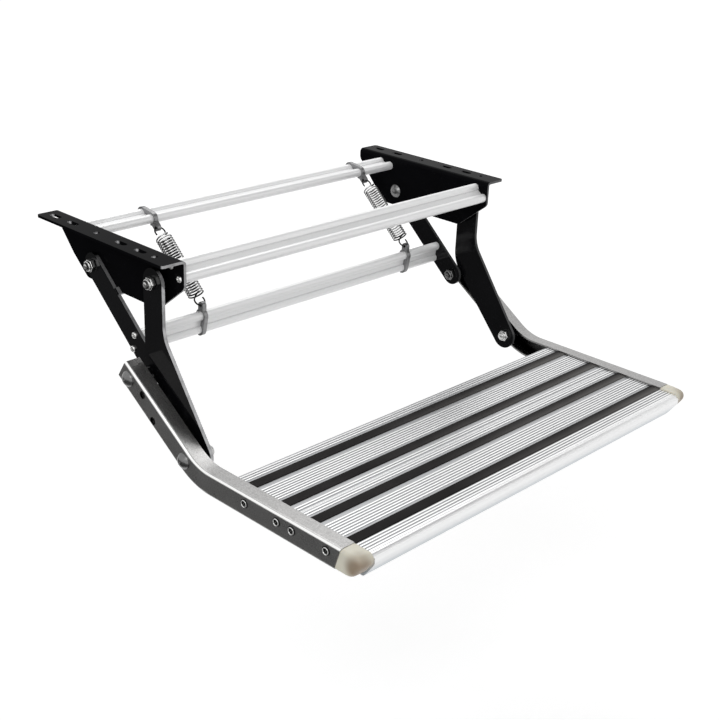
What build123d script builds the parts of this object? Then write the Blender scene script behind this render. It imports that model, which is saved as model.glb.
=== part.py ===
"""Folding caravan entry step: hanging brackets, swinging arms, bent rails and a ribbed tread.

Millimetres. X runs across the step, the nosing faces -Y, and +Z is up. The origin is the
middle of the mounting plane: the flange tops lie on Z = 0. A side-view point is (Y, Z).
"""

import os
from math import atan2, cos, degrees, radians, sin, tan

from build123d import *

os.makedirs("parts", exist_ok=True)

# Widths and layers across the step
STEP_WIDTH = 566.0  # over the outer faces of the rails
RAIL_WIDTH = 19.0
ARM_THICKNESS = 4.0
ARM_TO_RAIL = 6.0  # front arm to the rail's flange edge
ARM_LAYERS = 3.0  # front arm to rear arm
SHEET = 3.0  # bracket sheet
WEB_TO_ARM = 0.5  # running gap, web to rear arm
FLANGE_WIDTH = 31.0

# Pivots in side view
REAR_PIVOT = (44.0, -46.0)
FRONT_PIVOT = (-76.0, -32.0)
REAR_ARM_LENGTH = 141.0
REAR_ARM_ANGLE = 221.3  # degrees, from +Y towards +Z
RAIL_PIVOTS = 112.3  # between the two pivots on a rail
RAIL_SLOPE = 33.2  # degrees, of the rail's upper part
ARM_BEND_DROP = 63.0  # front pivot down to the bend of the front arm

# Arms and brackets
REAR_ARM_WIDTH = 28.0
FRONT_ARM_WIDTH = 32.0  # above its bend
LEG_FRONT = (16.0, 13.0)  # lower leg's front edge from its axis, at the bend and the rail's pivot
LEG_BACK = (30.0, 20.0)  # lower leg's rear edge from its axis
FRONT_ARM_BEND = 40.0  # front edge
BACK_ARM_BEND = 45.0  # rear edge
FLANGE_LENGTH = 230.0
WEB_FRONT_HEIGHT = 31.0
WEB_DEPTH = 66.0
WEB_CHAMFER = 45.0  # along Y
BEND_RADIUS = 2.0  # inside, between web and flange
WEB_CORNER = 9.0
WEB_LOBE_FOOT = 17.0  # lower edge, behind the rear pivot
WEB_REAR_SLOPE = 28.0  # rear edge, along Y
WEB_REAR_HEIGHT = 44.0
WEB_REAR_TOP = 13.0
FLANGE_CORNER = 4.0
STOP_ALONG = 46.0  # from the rear pivot, along the arm
STOP_LENGTH = 9.0
STOP_GAP = 0.2

# Flange holes, along Y
SLOT_WIDTH = 7.0
SLOT_LENGTH = 18.0
SLOT_STAGGER = 34.0
SLOT_FROM_REAR = 19.0  # rear end of the flange to the first slot
SLOT_FROM_FRONT = 53.0  # front end of the flange to the last slot
ROUND_HOLE = 7.0
ROUND_MIDDLE = 17.0
ROUND_FROM_FRONT = 29.0

# Rails
RAIL_HEIGHT = 26.0
RAIL_WALL = 2.0
RAIL_CORNER = 3.5  # outside corner of the channel
RAIL_OVERHANG = 14.0  # upper end past the rear pivot
RAIL_BEND = 75.0  # centreline radius
BEND_FROM_PIVOT = 21.8  # front rail pivot to the corner of the bend
RAIL_RUN = 213.8  # corner of the bend to the front end, along the top
END_RAKE = 8.0  # front end's foot behind its top
SPARE_HOLE = 8.0
SPARE_HOLES = ((26.5, 5.0), (54.0, -6.0))  # from the rear pivot: along, above

# Double-lobed bars
LOBE = 11.0
LOBE_PITCH = 17.5
BAR_WEB = 3.4
BAR_END_GAP = 0.05
REAR_BAR = (66.0, -11.8)
REAR_BAR_TILT = 8.0
FRONT_BAR = (-101.5, -16.0)
FRONT_BAR_TILT = 38.7
LOWER_BAR_ALONG = 101.5  # from the rear pivot, along the arm
LOWER_BAR_ASIDE = 2.6  # towards the arm's lower edge
LOWER_BAR_TILT = 60.0  # from the arm's direction

# Bolts, nuts and screws
BOLT = 8.0
PIVOT_FIT = 0.05
HEAD = 18.0
HEAD_HEIGHT = 5.8
HEAD_RIM = 1.0
NUT_FLATS = 13.0
NUT_HEIGHT = 8.0
SPACER = 17.0
FACE_GAP = 0.1
OPEN_GAP = 0.3  # end of the front rail bolt to the front arm
BOLT_PROUD = 1.5
SCREW = 5.0
SCREW_FIT = 0.05
SCREW_HEAD = 7.6
SCREW_HEAD_HEIGHT = 2.6
SCREW_HEAD_EDGE = 1.2
SCREW_SIDES = 12
SCREW_REACH = 16.0  # in the extrusion

# Tread
TREAD_BACK = 172.5  # rear edge, behind the rails' front end
PLANK_DEPTH = 95.5
PLANK_SPLIT = 0.6
NOSE_OUT = 33.0  # corner of the nosing, ahead of the rails' front end
NOSE_RAKE = 20.0  # nosing's foot behind its corner
NOSE_DROP = 5.0  # nosing below the rails
NOSE_RADIUS = 7.0
NOSE_RIBS = (115.0, 150.0)  # degrees round the nosing, from +Y
PLANK_TOP_WALL = 3.2
PLANK_WALL = 1.8
CHANNEL_GAP = 0.2
RIB_HEIGHT = 0.7
RIB_WIDTH = 1.8
RIB_PITCH = 4.0
PORT = 9.0
PORT_SPACING = 47.7
PORT_IN = 10.8  # from the split between the planks
PORT_DROP = 10.0  # below the rail's top face
STRIP_DEPTH = 13.0
STRIP_SEAT = 1.8
STRIP_STAND = 1.0  # above the plank
STRIP_GAP = 0.05
STRIP_REAR = 18.0  # rear edge of the tread to the first strip
STRIP_SECOND = 67.2
STRIP_THIRD = 109.6
STRIP_NOSE = 158.8
STRIP_EDGE = 0.3
RIB_MARGIN = 1.2
FLAT_BAND = 4.0
PLANK_EDGE = 1.5
NOSE_WALL = 2.4
NOSE_LIP = 8.0
NOTCH_GAP = 0.3

# End caps
CAP_OUT = 33.5
CAP_RAKE = 19.0
CAP_TOP_RADIUS = 7.5
CAP_FOOT_RADIUS = 9.0
CAP_EDGE = 4.5
PLUG_DEPTH = 13.0
PLUG_GAP = 0.15

# Springs and their clips
LEFT_SPRING_IN = 85.5  # left bracket's web to the spring
RIGHT_SPRING_IN = 59.5
CLIP_THICKNESS = 5.0
CLIP_WALL = 2.4
CLIP_GAP = 0.15
CLIP_REACH = 12.5  # lobe to spring hole
CLIP_HOLE = 4.0
CLIP_BOSS = 9.0
UPPER_CLIP_TURN = 222.0  # degrees, lobe to spring hole
LOWER_CLIP_TURN = 93.0
COIL = 20.0
WIRE = 2.5
LOOP_WIRE = 2.0  # across the flats of the end loops
COIL_SIDES = 20
HOOK = 13.0  # mean diameter of the end loops
LOOP_SINK = 0.6  # loop into the coil's end

# Layers worked out from the width
RAIL_OUT = STEP_WIDTH / 2
RAIL_IN = RAIL_OUT - RAIL_WIDTH
FRONT_ARM_OUT = RAIL_IN - ARM_TO_RAIL
FRONT_ARM_IN = FRONT_ARM_OUT - ARM_THICKNESS
REAR_ARM_OUT = FRONT_ARM_IN - ARM_LAYERS
REAR_ARM_IN = REAR_ARM_OUT - ARM_THICKNESS
WEB_OUT = REAR_ARM_IN - WEB_TO_ARM
WEB_IN = WEB_OUT - SHEET
RAIL_SEAT = RAIL_OUT - RAIL_WALL
LEFT_SPRING = LEFT_SPRING_IN - WEB_IN
RIGHT_SPRING = WEB_IN - RIGHT_SPRING_IN
FLANGE_HOLES_X = WEB_OUT + (FLANGE_WIDTH - SHEET) / 2 + 1.0
FLANGE_END = FLANGE_LENGTH / 2
SLOT_CENTRES = (
    FLANGE_END - SLOT_FROM_REAR,
    FLANGE_END - SLOT_FROM_REAR - SLOT_STAGGER,
    SLOT_FROM_FRONT + SLOT_STAGGER - FLANGE_END,
    SLOT_FROM_FRONT - FLANGE_END,
)
ROUND_HOLES = (ROUND_MIDDLE, ROUND_FROM_FRONT - FLANGE_END)


def stepped(point, angle, length):
    """Side-view point at a length and angle from another."""
    return (
        point[0] + length * cos(radians(angle)),
        point[1] + length * sin(radians(angle)),
    )


# Side-view points worked out from the linkage
RAIL_REAR = stepped(REAR_PIVOT, REAR_ARM_ANGLE, REAR_ARM_LENGTH)
DOWN_RAIL = 180.0 + RAIL_SLOPE
RAIL_FRONT = stepped(RAIL_REAR, DOWN_RAIL, RAIL_PIVOTS)
RAIL_TIP = stepped(RAIL_REAR, RAIL_SLOPE, RAIL_OVERHANG)
RAIL_CORNER_POINT = stepped(RAIL_FRONT, DOWN_RAIL, BEND_FROM_PIVOT)
FRONT_END = RAIL_CORNER_POINT[0] - RAIL_RUN
RAIL_MID = RAIL_CORNER_POINT[1]
RAIL_TOP = RAIL_MID + RAIL_HEIGHT / 2
RAIL_FOOT = RAIL_MID - RAIL_HEIGHT / 2
ARM_CORNER = (FRONT_PIVOT[0], FRONT_PIVOT[1] - ARM_BEND_DROP)
LOWER_BAR = stepped(
    stepped(REAR_PIVOT, REAR_ARM_ANGLE, LOWER_BAR_ALONG),
    REAR_ARM_ANGLE + 90.0,
    LOWER_BAR_ASIDE,
)
LOWER_BAR_ANGLE = REAR_ARM_ANGLE + LOWER_BAR_TILT
TREAD_REAR = FRONT_END + TREAD_BACK
SPLIT = TREAD_REAR - PLANK_DEPTH
FRONT_PLANK_BACK = SPLIT - PLANK_SPLIT
PLANK_HALF = RAIL_SEAT - CHANNEL_GAP
PLANK_TOP = RAIL_TOP - RAIL_WALL - CHANNEL_GAP - RIB_HEIGHT
PLANK_FOOT = RAIL_FOOT + RAIL_WALL + CHANNEL_GAP
CELL_TOP = PLANK_TOP - PLANK_TOP_WALL
CELL_FOOT = PLANK_FOOT + PLANK_WALL
NOSE_FRONT = FRONT_END - NOSE_OUT
NOSE_FOOT = RAIL_FOOT - NOSE_DROP
NOSE_ANGLE = atan2(PLANK_TOP - NOSE_FOOT, NOSE_RAKE)  # between its top and its front
NOSE_SKIN = NOSE_WALL / sin(NOSE_ANGLE)  # its wall, measured along Y
NOSE_MIDDLE = (NOSE_FRONT + NOSE_RADIUS / tan(NOSE_ANGLE / 2), PLANK_TOP - NOSE_RADIUS)
PORT_Z = RAIL_TOP - PORT_DROP
REAR_PORTS = [(SPLIT + PORT_IN, PORT_Z), (SPLIT + PORT_IN + PORT_SPACING, PORT_Z)]
FRONT_PORTS = [(SPLIT - PORT_IN - PORT_SPACING, PORT_Z), (SPLIT - PORT_IN, PORT_Z)]
PORTS = REAR_PORTS + FRONT_PORTS
STRIPS = {
    "rear_strip": TREAD_REAR - STRIP_REAR,
    "second_strip": TREAD_REAR - STRIP_SECOND,
    "third_strip": TREAD_REAR - STRIP_THIRD,
    "nosing_strip": TREAD_REAR - STRIP_NOSE,
}
BOLT_HOLE = BOLT / 2 + PIVOT_FIT
SCREW_HOLE = SCREW / 2 + SCREW_FIT


def lobes(centre, angle):
    """The two lobe centres of a bar."""
    half = LOBE_PITCH / 2
    return [stepped(centre, angle + 180.0, half), stepped(centre, angle, half)]


REAR_LOBES = lobes(REAR_BAR, REAR_BAR_TILT)
FRONT_LOBES = lobes(FRONT_BAR, FRONT_BAR_TILT)
LOWER_LOBES = lobes(LOWER_BAR, LOWER_BAR_ANGLE)
UPPER_HOOK = stepped(REAR_LOBES[0], UPPER_CLIP_TURN, CLIP_REACH)
LOWER_HOOK = stepped(LOWER_LOBES[0], LOWER_CLIP_TURN, CLIP_REACH)


def cross_axis(point):
    """Line along X through a side-view point."""
    return Axis((0, point[0], point[1]), (1, 0, 0))


def turning_plane(point):
    """Plane of X and height above a line along X through a side-view point."""
    return Plane(origin=(0, point[0], point[1]), x_dir=(1, 0, 0), z_dir=(0, -1, 0))


def dome_bolt(face, tip, point):
    """Dome-headed bolt along X: the head sits on the face and the shank ends at the tip."""
    out = 1.0 if face > tip else -1.0
    rim = face + out * HEAD_RIM
    top = face + out * HEAD_HEIGHT
    rise = HEAD_HEIGHT - HEAD_RIM
    dome = (HEAD**2 / 4 + rise**2) / (2 * rise)
    half_turn = atan2(HEAD / 2, dome - rise) / 2
    crown = top - out * dome * (1 - cos(half_turn))
    with BuildPart() as bolt:
        with BuildSketch(turning_plane(point)):
            with BuildLine():
                Polyline(
                    (top, 0),
                    (tip, 0),
                    (tip, BOLT / 2),
                    (face, BOLT / 2),
                    (face, HEAD / 2),
                    (rim, HEAD / 2),
                )
                ThreePointArc((rim, HEAD / 2), (crown, dome * sin(half_turn)), (top, 0))
            make_face()
        revolve(axis=cross_axis(point))
    return bolt.part


def hex_nut(low, point):
    """Hexagon nut along X, its lower face at the given X."""
    with BuildPart() as nut:
        with BuildSketch(Plane.YZ.offset(low)):
            with Locations(point):
                RegularPolygon(NUT_FLATS / 2, 6, major_radius=False)
        extrude(amount=NUT_HEIGHT)
        chamfer(nut.edges().filter_by(Plane.YZ), 0.9)
        with BuildSketch(Plane.YZ.offset(low)):
            with Locations(point):
                Circle(BOLT_HOLE)
        extrude(amount=NUT_HEIGHT, mode=Mode.SUBTRACT)
    return nut.part


def tube(low, high, point, outer, bore):
    """Round tube along X."""
    with BuildPart() as sleeve:
        with BuildSketch(Plane.YZ.offset(low)):
            with Locations(point):
                Circle(outer)
                Circle(bore, mode=Mode.SUBTRACT)
        extrude(amount=high - low)
    return sleeve.part


def screw(face, reach, point):
    """Pan-headed screw along X: the head sits on the face and the shank runs inwards."""
    with BuildPart() as pan:
        with BuildSketch(Plane.YZ.offset(face)):
            with Locations(point):
                RegularPolygon(SCREW_HEAD / 2, SCREW_SIDES)
        extrude(amount=SCREW_HEAD_HEIGHT)
        chamfer(pan.faces().sort_by(Axis.X)[-1].edges(), SCREW_HEAD_EDGE)
        with BuildSketch(Plane.YZ.offset(face - reach)):
            with Locations(point):
                RegularPolygon(SCREW / 2, SCREW_SIDES)
        extrude(amount=reach)
    return pan.part


def bar(centre, angle, half_length):
    """Double-lobed extrusion with a screw port through each lobe."""
    with BuildPart() as extrusion:
        with BuildSketch(Plane.YZ.offset(-half_length)):
            with Locations(Location(centre, angle)):
                Rectangle(LOBE_PITCH, BAR_WEB)
            with Locations(*lobes(centre, angle)):
                Circle(LOBE / 2)
            with Locations(*lobes(centre, angle)):
                Circle(SCREW_HOLE, mode=Mode.SUBTRACT)
        extrude(amount=2 * half_length)
    return extrusion.part


def spring_clip(middle, lobe, other, hook, open_side):
    """Saddle over one side of a bar's lobes, with a tab that holds the spring in its hole."""
    turn = degrees(atan2(other[1] - lobe[1], other[0] - lobe[0]))
    between = ((lobe[0] + other[0]) / 2, (lobe[1] + other[1]) / 2)
    tab_start = ((lobe[0] + hook[0]) / 2, (lobe[1] + hook[1]) / 2)
    saddle_width = LOBE + 2 * (CLIP_GAP + CLIP_WALL)
    with BuildPart() as clip:
        with BuildSketch(Plane.YZ.offset(middle - CLIP_THICKNESS / 2)):
            with Locations(Location(between, turn)):
                SlotCenterToCenter(LOBE_PITCH, saddle_width)
            SlotCenterPoint(tab_start, hook, CLIP_BOSS)
            with Locations(lobe, other):
                Circle(LOBE / 2 + CLIP_GAP, mode=Mode.SUBTRACT)
            with Locations(Location(between, turn)):
                Rectangle(LOBE_PITCH, BAR_WEB + 2 * CLIP_GAP, mode=Mode.SUBTRACT)
            with Locations(Location(lobe, turn)):
                Rectangle(
                    2 * LOBE_PITCH, saddle_width, align=(Align.MIN, open_side), mode=Mode.SUBTRACT
                )
            with Locations(hook):
                Circle(CLIP_HOLE / 2, mode=Mode.SUBTRACT)
        extrude(amount=CLIP_THICKNESS)
    return clip.part


def coil_spring(middle):
    """Spring between the two hooks: the coil's outer shape with a loop at each end."""
    start = Vector(middle, UPPER_HOOK[0], UPPER_HOOK[1])
    finish = Vector(middle, LOWER_HOOK[0], LOWER_HOOK[1])
    line = (finish - start).normalized()
    span = (finish - start).length
    along = Plane(origin=start, x_dir=(1, 0, 0), z_dir=line)
    first = HOOK + WIRE / 2 - LOOP_SINK
    with BuildPart() as spring:
        with BuildSketch(along.offset(first)):
            RegularPolygon(COIL / 2, COIL_SIDES)
        extrude(amount=span - 2 * first)
        with BuildSketch(along.offset(first + WIRE)):
            RegularPolygon(COIL / 2 - WIRE, COIL_SIDES)
        extrude(amount=span - 2 * first - 2 * WIRE, mode=Mode.SUBTRACT)
        for centre in (start + line * (HOOK / 2), finish - line * (HOOK / 2)):
            with BuildSketch(Plane(origin=centre, x_dir=line, z_dir=along.y_dir)):
                RegularPolygon((HOOK + LOOP_WIRE) / 2, COIL_SIDES)
                RegularPolygon((HOOK - LOOP_WIRE) / 2, COIL_SIDES, mode=Mode.SUBTRACT)
            extrude(amount=LOOP_WIRE / 2, both=True)
    return spring.part


def keep(piece, name):
    """Names a piece and writes it."""
    piece.label = name
    export_step(piece, f"parts/{name}.step")


def keep_pair(piece, name):
    """Writes the right-hand piece and its mirror on the left."""
    with BuildPart() as other:
        mirror(piece, about=Plane.YZ)
    keep(piece, f"right_{name}")
    keep(other.part, f"left_{name}")


def keep_both(piece, name):
    """Writes a piece on the right and its mirror on the left as one group."""
    with BuildPart() as both:
        add(piece)
        mirror(piece, about=Plane.YZ)
    keep(both.part, name)


# Brackets
stop_back = stepped(
    stepped(REAR_PIVOT, REAR_ARM_ANGLE, STOP_ALONG),
    REAR_ARM_ANGLE - 90.0,
    REAR_ARM_WIDTH / 2 + STOP_GAP + SHEET / 2,
)
with BuildPart() as bracket:
    with BuildSketch(Plane.YZ.offset(WEB_IN)) as web:
        with BuildLine():
            Polyline(
                (-FLANGE_END, 0),
                (-FLANGE_END, -WEB_FRONT_HEIGHT),
                (-FLANGE_END + WEB_CHAMFER, -WEB_DEPTH),
                (REAR_PIVOT[0] + WEB_LOBE_FOOT, -WEB_DEPTH),
                (FLANGE_END - WEB_REAR_SLOPE, -WEB_REAR_HEIGHT),
                (FLANGE_END, -WEB_REAR_TOP),
                (FLANGE_END, 0),
                close=True,
            )
        make_face()
        fillet(web.vertices().filter_by_position(Axis.Y, -300, -1), WEB_CORNER)
    extrude(amount=SHEET)
    with BuildSketch(Plane.XY.offset(-SHEET)):
        with Locations((WEB_IN + FLANGE_WIDTH / 2, 0)):
            Rectangle(FLANGE_WIDTH, FLANGE_LENGTH)
    extrude(amount=SHEET)
    across = bracket.edges().filter_by(Axis.Y)
    fillet(across.filter_by_position(Axis.Z, -0.1, 0.1).sort_by(Axis.X)[0], BEND_RADIUS + SHEET)
    inside = bracket.edges().filter_by(Axis.Y).filter_by_position(Axis.Z, -SHEET - 0.1, -SHEET + 0.1)
    fillet(inside.sort_by(Axis.X)[0], BEND_RADIUS)
    flange_corners = bracket.edges().filter_by(Axis.Z).filter_by_position(Axis.Z, -SHEET, 0)
    fillet(flange_corners.sort_by(Axis.X)[-2:], FLANGE_CORNER)
    with BuildSketch(Plane.YZ.offset(WEB_IN)):
        with Locations(Location(stop_back, REAR_ARM_ANGLE)):
            Rectangle(STOP_LENGTH, SHEET)
    extrude(amount=REAR_ARM_OUT - WEB_IN)
    with BuildSketch(Plane.YZ.offset(WEB_IN)):
        with Locations(REAR_PIVOT, FRONT_PIVOT):
            Circle(BOLT_HOLE)
        with Locations(*REAR_LOBES, *FRONT_LOBES):
            Circle(SCREW_HOLE)
    extrude(amount=SHEET, mode=Mode.SUBTRACT)
    with BuildSketch(Plane.XY):
        for y in SLOT_CENTRES:
            with Locations((FLANGE_HOLES_X, y)):
                SlotOverall(SLOT_LENGTH, SLOT_WIDTH, rotation=90)
        for y in ROUND_HOLES:
            with Locations((FLANGE_HOLES_X, y)):
                Circle(ROUND_HOLE / 2)
    extrude(amount=-SHEET, mode=Mode.SUBTRACT)
keep_pair(bracket.part, "bracket")

# Rear arms, with holes for the pivots and the lower bar
with BuildPart() as rear_arm:
    with BuildSketch(Plane.YZ.offset(REAR_ARM_IN)):
        middle = stepped(REAR_PIVOT, REAR_ARM_ANGLE, REAR_ARM_LENGTH / 2)
        with Locations(Location(middle, REAR_ARM_ANGLE)):
            SlotCenterToCenter(REAR_ARM_LENGTH, REAR_ARM_WIDTH)
        with Locations(REAR_PIVOT, RAIL_REAR):
            Circle(BOLT_HOLE, mode=Mode.SUBTRACT)
        with Locations(*LOWER_LOBES):
            Circle(SCREW_HOLE, mode=Mode.SUBTRACT)
    extrude(amount=ARM_THICKNESS)
keep_pair(rear_arm.part, "rear_arm")

# Front arms, bent in their own plane, with a lower leg that tapers to the rail's pivot
leg_angle = degrees(atan2(RAIL_FRONT[1] - ARM_CORNER[1], RAIL_FRONT[0] - ARM_CORNER[0]))
arm_front = FRONT_PIVOT[0] - FRONT_ARM_WIDTH / 2
arm_back = FRONT_PIVOT[0] + FRONT_ARM_WIDTH / 2


def edge_height(start, end, y):
    """Height at which the line between two side-view points passes a Y."""
    return start[1] + (y - start[0]) * (end[1] - start[1]) / (end[0] - start[0])


leg_front = [
    stepped(ARM_CORNER, leg_angle - 90.0, LEG_FRONT[0]),
    stepped(RAIL_FRONT, leg_angle - 90.0, LEG_FRONT[1]),
]
leg_back = [
    stepped(ARM_CORNER, leg_angle + 90.0, LEG_BACK[0]),
    stepped(RAIL_FRONT, leg_angle + 90.0, LEG_BACK[1]),
]
front_knee = (arm_front, edge_height(*leg_front, arm_front))
back_knee = (arm_back, edge_height(*leg_back, arm_back))
leg_end = stepped(RAIL_FRONT, leg_angle + 90.0, (LEG_BACK[1] - LEG_FRONT[1]) / 2)
with BuildPart() as front_arm:
    with BuildSketch(Plane.YZ.offset(FRONT_ARM_IN)) as arm_section:
        with BuildLine():
            Polyline(
                (arm_front, FRONT_PIVOT[1]),
                front_knee,
                leg_front[1],
                leg_back[1],
                back_knee,
                (arm_back, FRONT_PIVOT[1]),
                close=True,
            )
        make_face()
        fillet(arm_section.vertices().sort_by_distance(front_knee)[0], FRONT_ARM_BEND)
        fillet(arm_section.vertices().sort_by_distance(back_knee)[0], BACK_ARM_BEND)
        with Locations(FRONT_PIVOT):
            Circle(FRONT_ARM_WIDTH / 2)
        with Locations(leg_end):
            Circle((LEG_FRONT[1] + LEG_BACK[1]) / 2)
        with Locations(FRONT_PIVOT, RAIL_FRONT):
            Circle(BOLT_HOLE, mode=Mode.SUBTRACT)
    extrude(amount=ARM_THICKNESS)
keep_pair(front_arm.part, "front_arm")

# Rails: a channel swept round its bend, open towards the middle
with BuildPart() as rail:
    with BuildLine(Plane.YZ) as rail_line:
        FilletPolyline(RAIL_TIP, RAIL_CORNER_POINT, (FRONT_END, RAIL_MID), radius=RAIL_BEND)
    route = rail_line.line
    with BuildSketch(Plane(origin=route @ 0, x_dir=(1, 0, 0), z_dir=route % 0)) as section:
        with Locations((RAIL_IN + RAIL_WIDTH / 2, 0)):
            Rectangle(RAIL_WIDTH, RAIL_HEIGHT)
        fillet(section.vertices().group_by(Axis.X)[-1], RAIL_CORNER)
        with Locations((RAIL_IN + (RAIL_WIDTH - RAIL_WALL) / 2, 0)):
            Rectangle(RAIL_WIDTH - RAIL_WALL, RAIL_HEIGHT - 2 * RAIL_WALL, mode=Mode.SUBTRACT)
    sweep(path=route)
    with BuildSketch(Plane.YZ.offset(RAIL_IN - RAIL_WALL)):
        with BuildLine():
            Polyline(
                (FRONT_END, RAIL_TOP),
                (FRONT_END + END_RAKE, RAIL_FOOT),
                (FRONT_END - END_RAKE, RAIL_FOOT),
                (FRONT_END - END_RAKE, RAIL_TOP),
                close=True,
            )
        make_face()
    extrude(amount=RAIL_WIDTH + 2 * RAIL_WALL, mode=Mode.SUBTRACT)
    with BuildSketch(Plane.YZ.offset(RAIL_SEAT - RAIL_WALL)):
        with Locations(RAIL_REAR, RAIL_FRONT):
            Circle(BOLT_HOLE)
        for along, above in SPARE_HOLES:
            with Locations(stepped(stepped(RAIL_REAR, DOWN_RAIL, along), DOWN_RAIL - 90.0, above)):
                Circle(SPARE_HOLE / 2)
        with Locations(*PORTS):
            Circle(SCREW_HOLE)
    extrude(amount=3 * RAIL_WALL, mode=Mode.SUBTRACT)
keep_pair(rail.part, "rail")

# Bars
keep(bar(REAR_BAR, REAR_BAR_TILT, WEB_IN - BAR_END_GAP), "rear_top_bar")
keep(bar(FRONT_BAR, FRONT_BAR_TILT, WEB_IN - BAR_END_GAP), "front_top_bar")
keep(bar(LOWER_BAR, LOWER_BAR_ANGLE, REAR_ARM_IN - BAR_END_GAP), "lower_bar")

# Spring clips and springs
for side, middle in (("left", LEFT_SPRING), ("right", RIGHT_SPRING)):
    keep(spring_clip(middle, *REAR_LOBES, UPPER_HOOK, Align.MAX), f"{side}_upper_clip")
    keep(spring_clip(middle, *LOWER_LOBES, LOWER_HOOK, Align.MIN), f"{side}_lower_clip")
    keep(coil_spring(middle), f"{side}_spring")


def rib_row(front, back):
    """Middles of the ribs that fit between two lines across a plank."""
    count = int((back - front) / RIB_PITCH)
    first = (front + back) / 2 - RIB_PITCH * (count - 1) / 2
    return [first + RIB_PITCH * i for i in range(count)]


def ribs_and_seats(rows, seats):
    """Ribs on top of a plank's section, and the seats of its strips cut into it."""
    for front, back in rows:
        for y in rib_row(front, back):
            with Locations((y, PLANK_TOP)):
                Rectangle(RIB_WIDTH, 2 * RIB_HEIGHT)
    for back in seats:
        with Locations((back, PLANK_TOP + RIB_HEIGHT)):
            Rectangle(
                STRIP_DEPTH,
                STRIP_SEAT + RIB_HEIGHT,
                align=(Align.MAX, Align.MAX),
                mode=Mode.SUBTRACT,
            )


def cells_and_ports(lines, ports):
    """Hollow cells between walls, and a screw port on the web at each port."""
    for low, high in zip(lines, lines[1:]):
        with Locations(((low + high) / 2, (CELL_TOP + CELL_FOOT) / 2)):
            Rectangle(high - low - PLANK_WALL, CELL_TOP - CELL_FOOT, mode=Mode.SUBTRACT)
    with Locations(*ports):
        Circle(PORT / 2)
    with Locations(*ports):
        Circle(SCREW_HOLE, mode=Mode.SUBTRACT)


# Rear plank
half_wall = PLANK_WALL / 2
rear_seats = (STRIPS["rear_strip"], STRIPS["second_strip"])
with BuildPart() as rear_plank:
    with BuildSketch(Plane.YZ.offset(-PLANK_HALF)) as rear_section:
        with Locations((TREAD_REAR, PLANK_TOP)):
            Rectangle(PLANK_DEPTH, PLANK_TOP - PLANK_FOOT, align=(Align.MAX, Align.MAX))
        fillet(rear_section.vertices().group_by(Axis.X)[-1].sort_by(Axis.Y)[-1], PLANK_EDGE)
        cells_and_ports(
            [SPLIT + half_wall, REAR_PORTS[0][0], REAR_PORTS[1][0], TREAD_REAR - half_wall],
            REAR_PORTS,
        )
        ribs_and_seats(
            (
                (rear_seats[0] + RIB_MARGIN, TREAD_REAR - PLANK_EDGE),
                (rear_seats[1] + RIB_MARGIN, rear_seats[0] - STRIP_DEPTH - FLAT_BAND),
                (SPLIT + RIB_MARGIN, rear_seats[1] - STRIP_DEPTH - FLAT_BAND),
            ),
            rear_seats,
        )
    extrude(amount=2 * PLANK_HALF)
keep(rear_plank.part, "rear_plank")

def nose_face(height):
    """Y of the nosing's raked front at a height."""
    return NOSE_FRONT + (PLANK_TOP - height) / tan(NOSE_ANGLE)


# Front plank with the nosing
front_seats = (STRIPS["third_strip"], STRIPS["nosing_strip"])
nose_web = FRONT_PORTS[0][0] - half_wall
notch = PLUG_DEPTH + NOTCH_GAP
with BuildSketch() as nose_cell:
    with BuildLine():
        Polyline(
            (nose_web, CELL_TOP),
            (nose_face(CELL_TOP) + NOSE_SKIN, CELL_TOP),
            (nose_face(NOSE_FOOT + NOSE_WALL) + NOSE_SKIN, NOSE_FOOT + NOSE_WALL),
            (nose_face(NOSE_FOOT) + NOSE_LIP, NOSE_FOOT + NOSE_WALL),
            (FRONT_END + NOSE_LIP, CELL_FOOT),
            (nose_web, CELL_FOOT),
            close=True,
        )
    make_face()
    fillet(nose_cell.vertices().sort_by(Axis.X)[0], NOSE_RADIUS - PLANK_TOP_WALL)
with BuildPart() as front_plank:
    with BuildSketch(Plane.YZ.offset(-PLANK_HALF)) as front_section:
        with BuildLine():
            Polyline(
                (FRONT_PLANK_BACK, PLANK_TOP),
                (NOSE_FRONT, PLANK_TOP),
                (nose_face(NOSE_FOOT), NOSE_FOOT),
                (nose_face(NOSE_FOOT) + NOSE_LIP, NOSE_FOOT),
                (FRONT_END + NOSE_LIP, PLANK_FOOT),
                (FRONT_PLANK_BACK, PLANK_FOOT),
                close=True,
            )
        make_face()
        fillet(front_section.vertices().sort_by(Axis.X)[0], NOSE_RADIUS)
        foot = front_section.vertices().group_by(Axis.Y)[0].sort_by(Axis.X)[0]
        fillet(foot, NOSE_LIP / 2)
        add(nose_cell.sketch, mode=Mode.SUBTRACT)
        cells_and_ports(
            [FRONT_PORTS[0][0], FRONT_PORTS[1][0], FRONT_PLANK_BACK - half_wall],
            FRONT_PORTS,
        )
        ribs_and_seats(
            (
                (front_seats[0] + RIB_MARGIN, FRONT_PLANK_BACK - RIB_MARGIN),
                (front_seats[1] + RIB_MARGIN, front_seats[0] - STRIP_DEPTH - FLAT_BAND),
                (NOSE_MIDDLE[0] - RIB_MARGIN, front_seats[1] - STRIP_DEPTH),
            ),
            front_seats,
        )
        for turn in NOSE_RIBS:
            with Locations(Location(stepped(NOSE_MIDDLE, turn, NOSE_RADIUS), turn)):
                Rectangle(2 * RIB_HEIGHT, RIB_WIDTH)
    extrude(amount=2 * PLANK_HALF)
    with BuildSketch(Plane.XY.offset(PLANK_TOP + NOSE_OUT)):
        for side in (1.0, -1.0):
            with Locations((side * (RAIL_IN - NOTCH_GAP + RAIL_WIDTH), FRONT_END + notch - NOSE_OUT)):
                Rectangle(2 * RAIL_WIDTH, 2 * NOSE_OUT)
    extrude(amount=-3 * NOSE_OUT, mode=Mode.SUBTRACT)
keep(front_plank.part, "front_plank")

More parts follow.
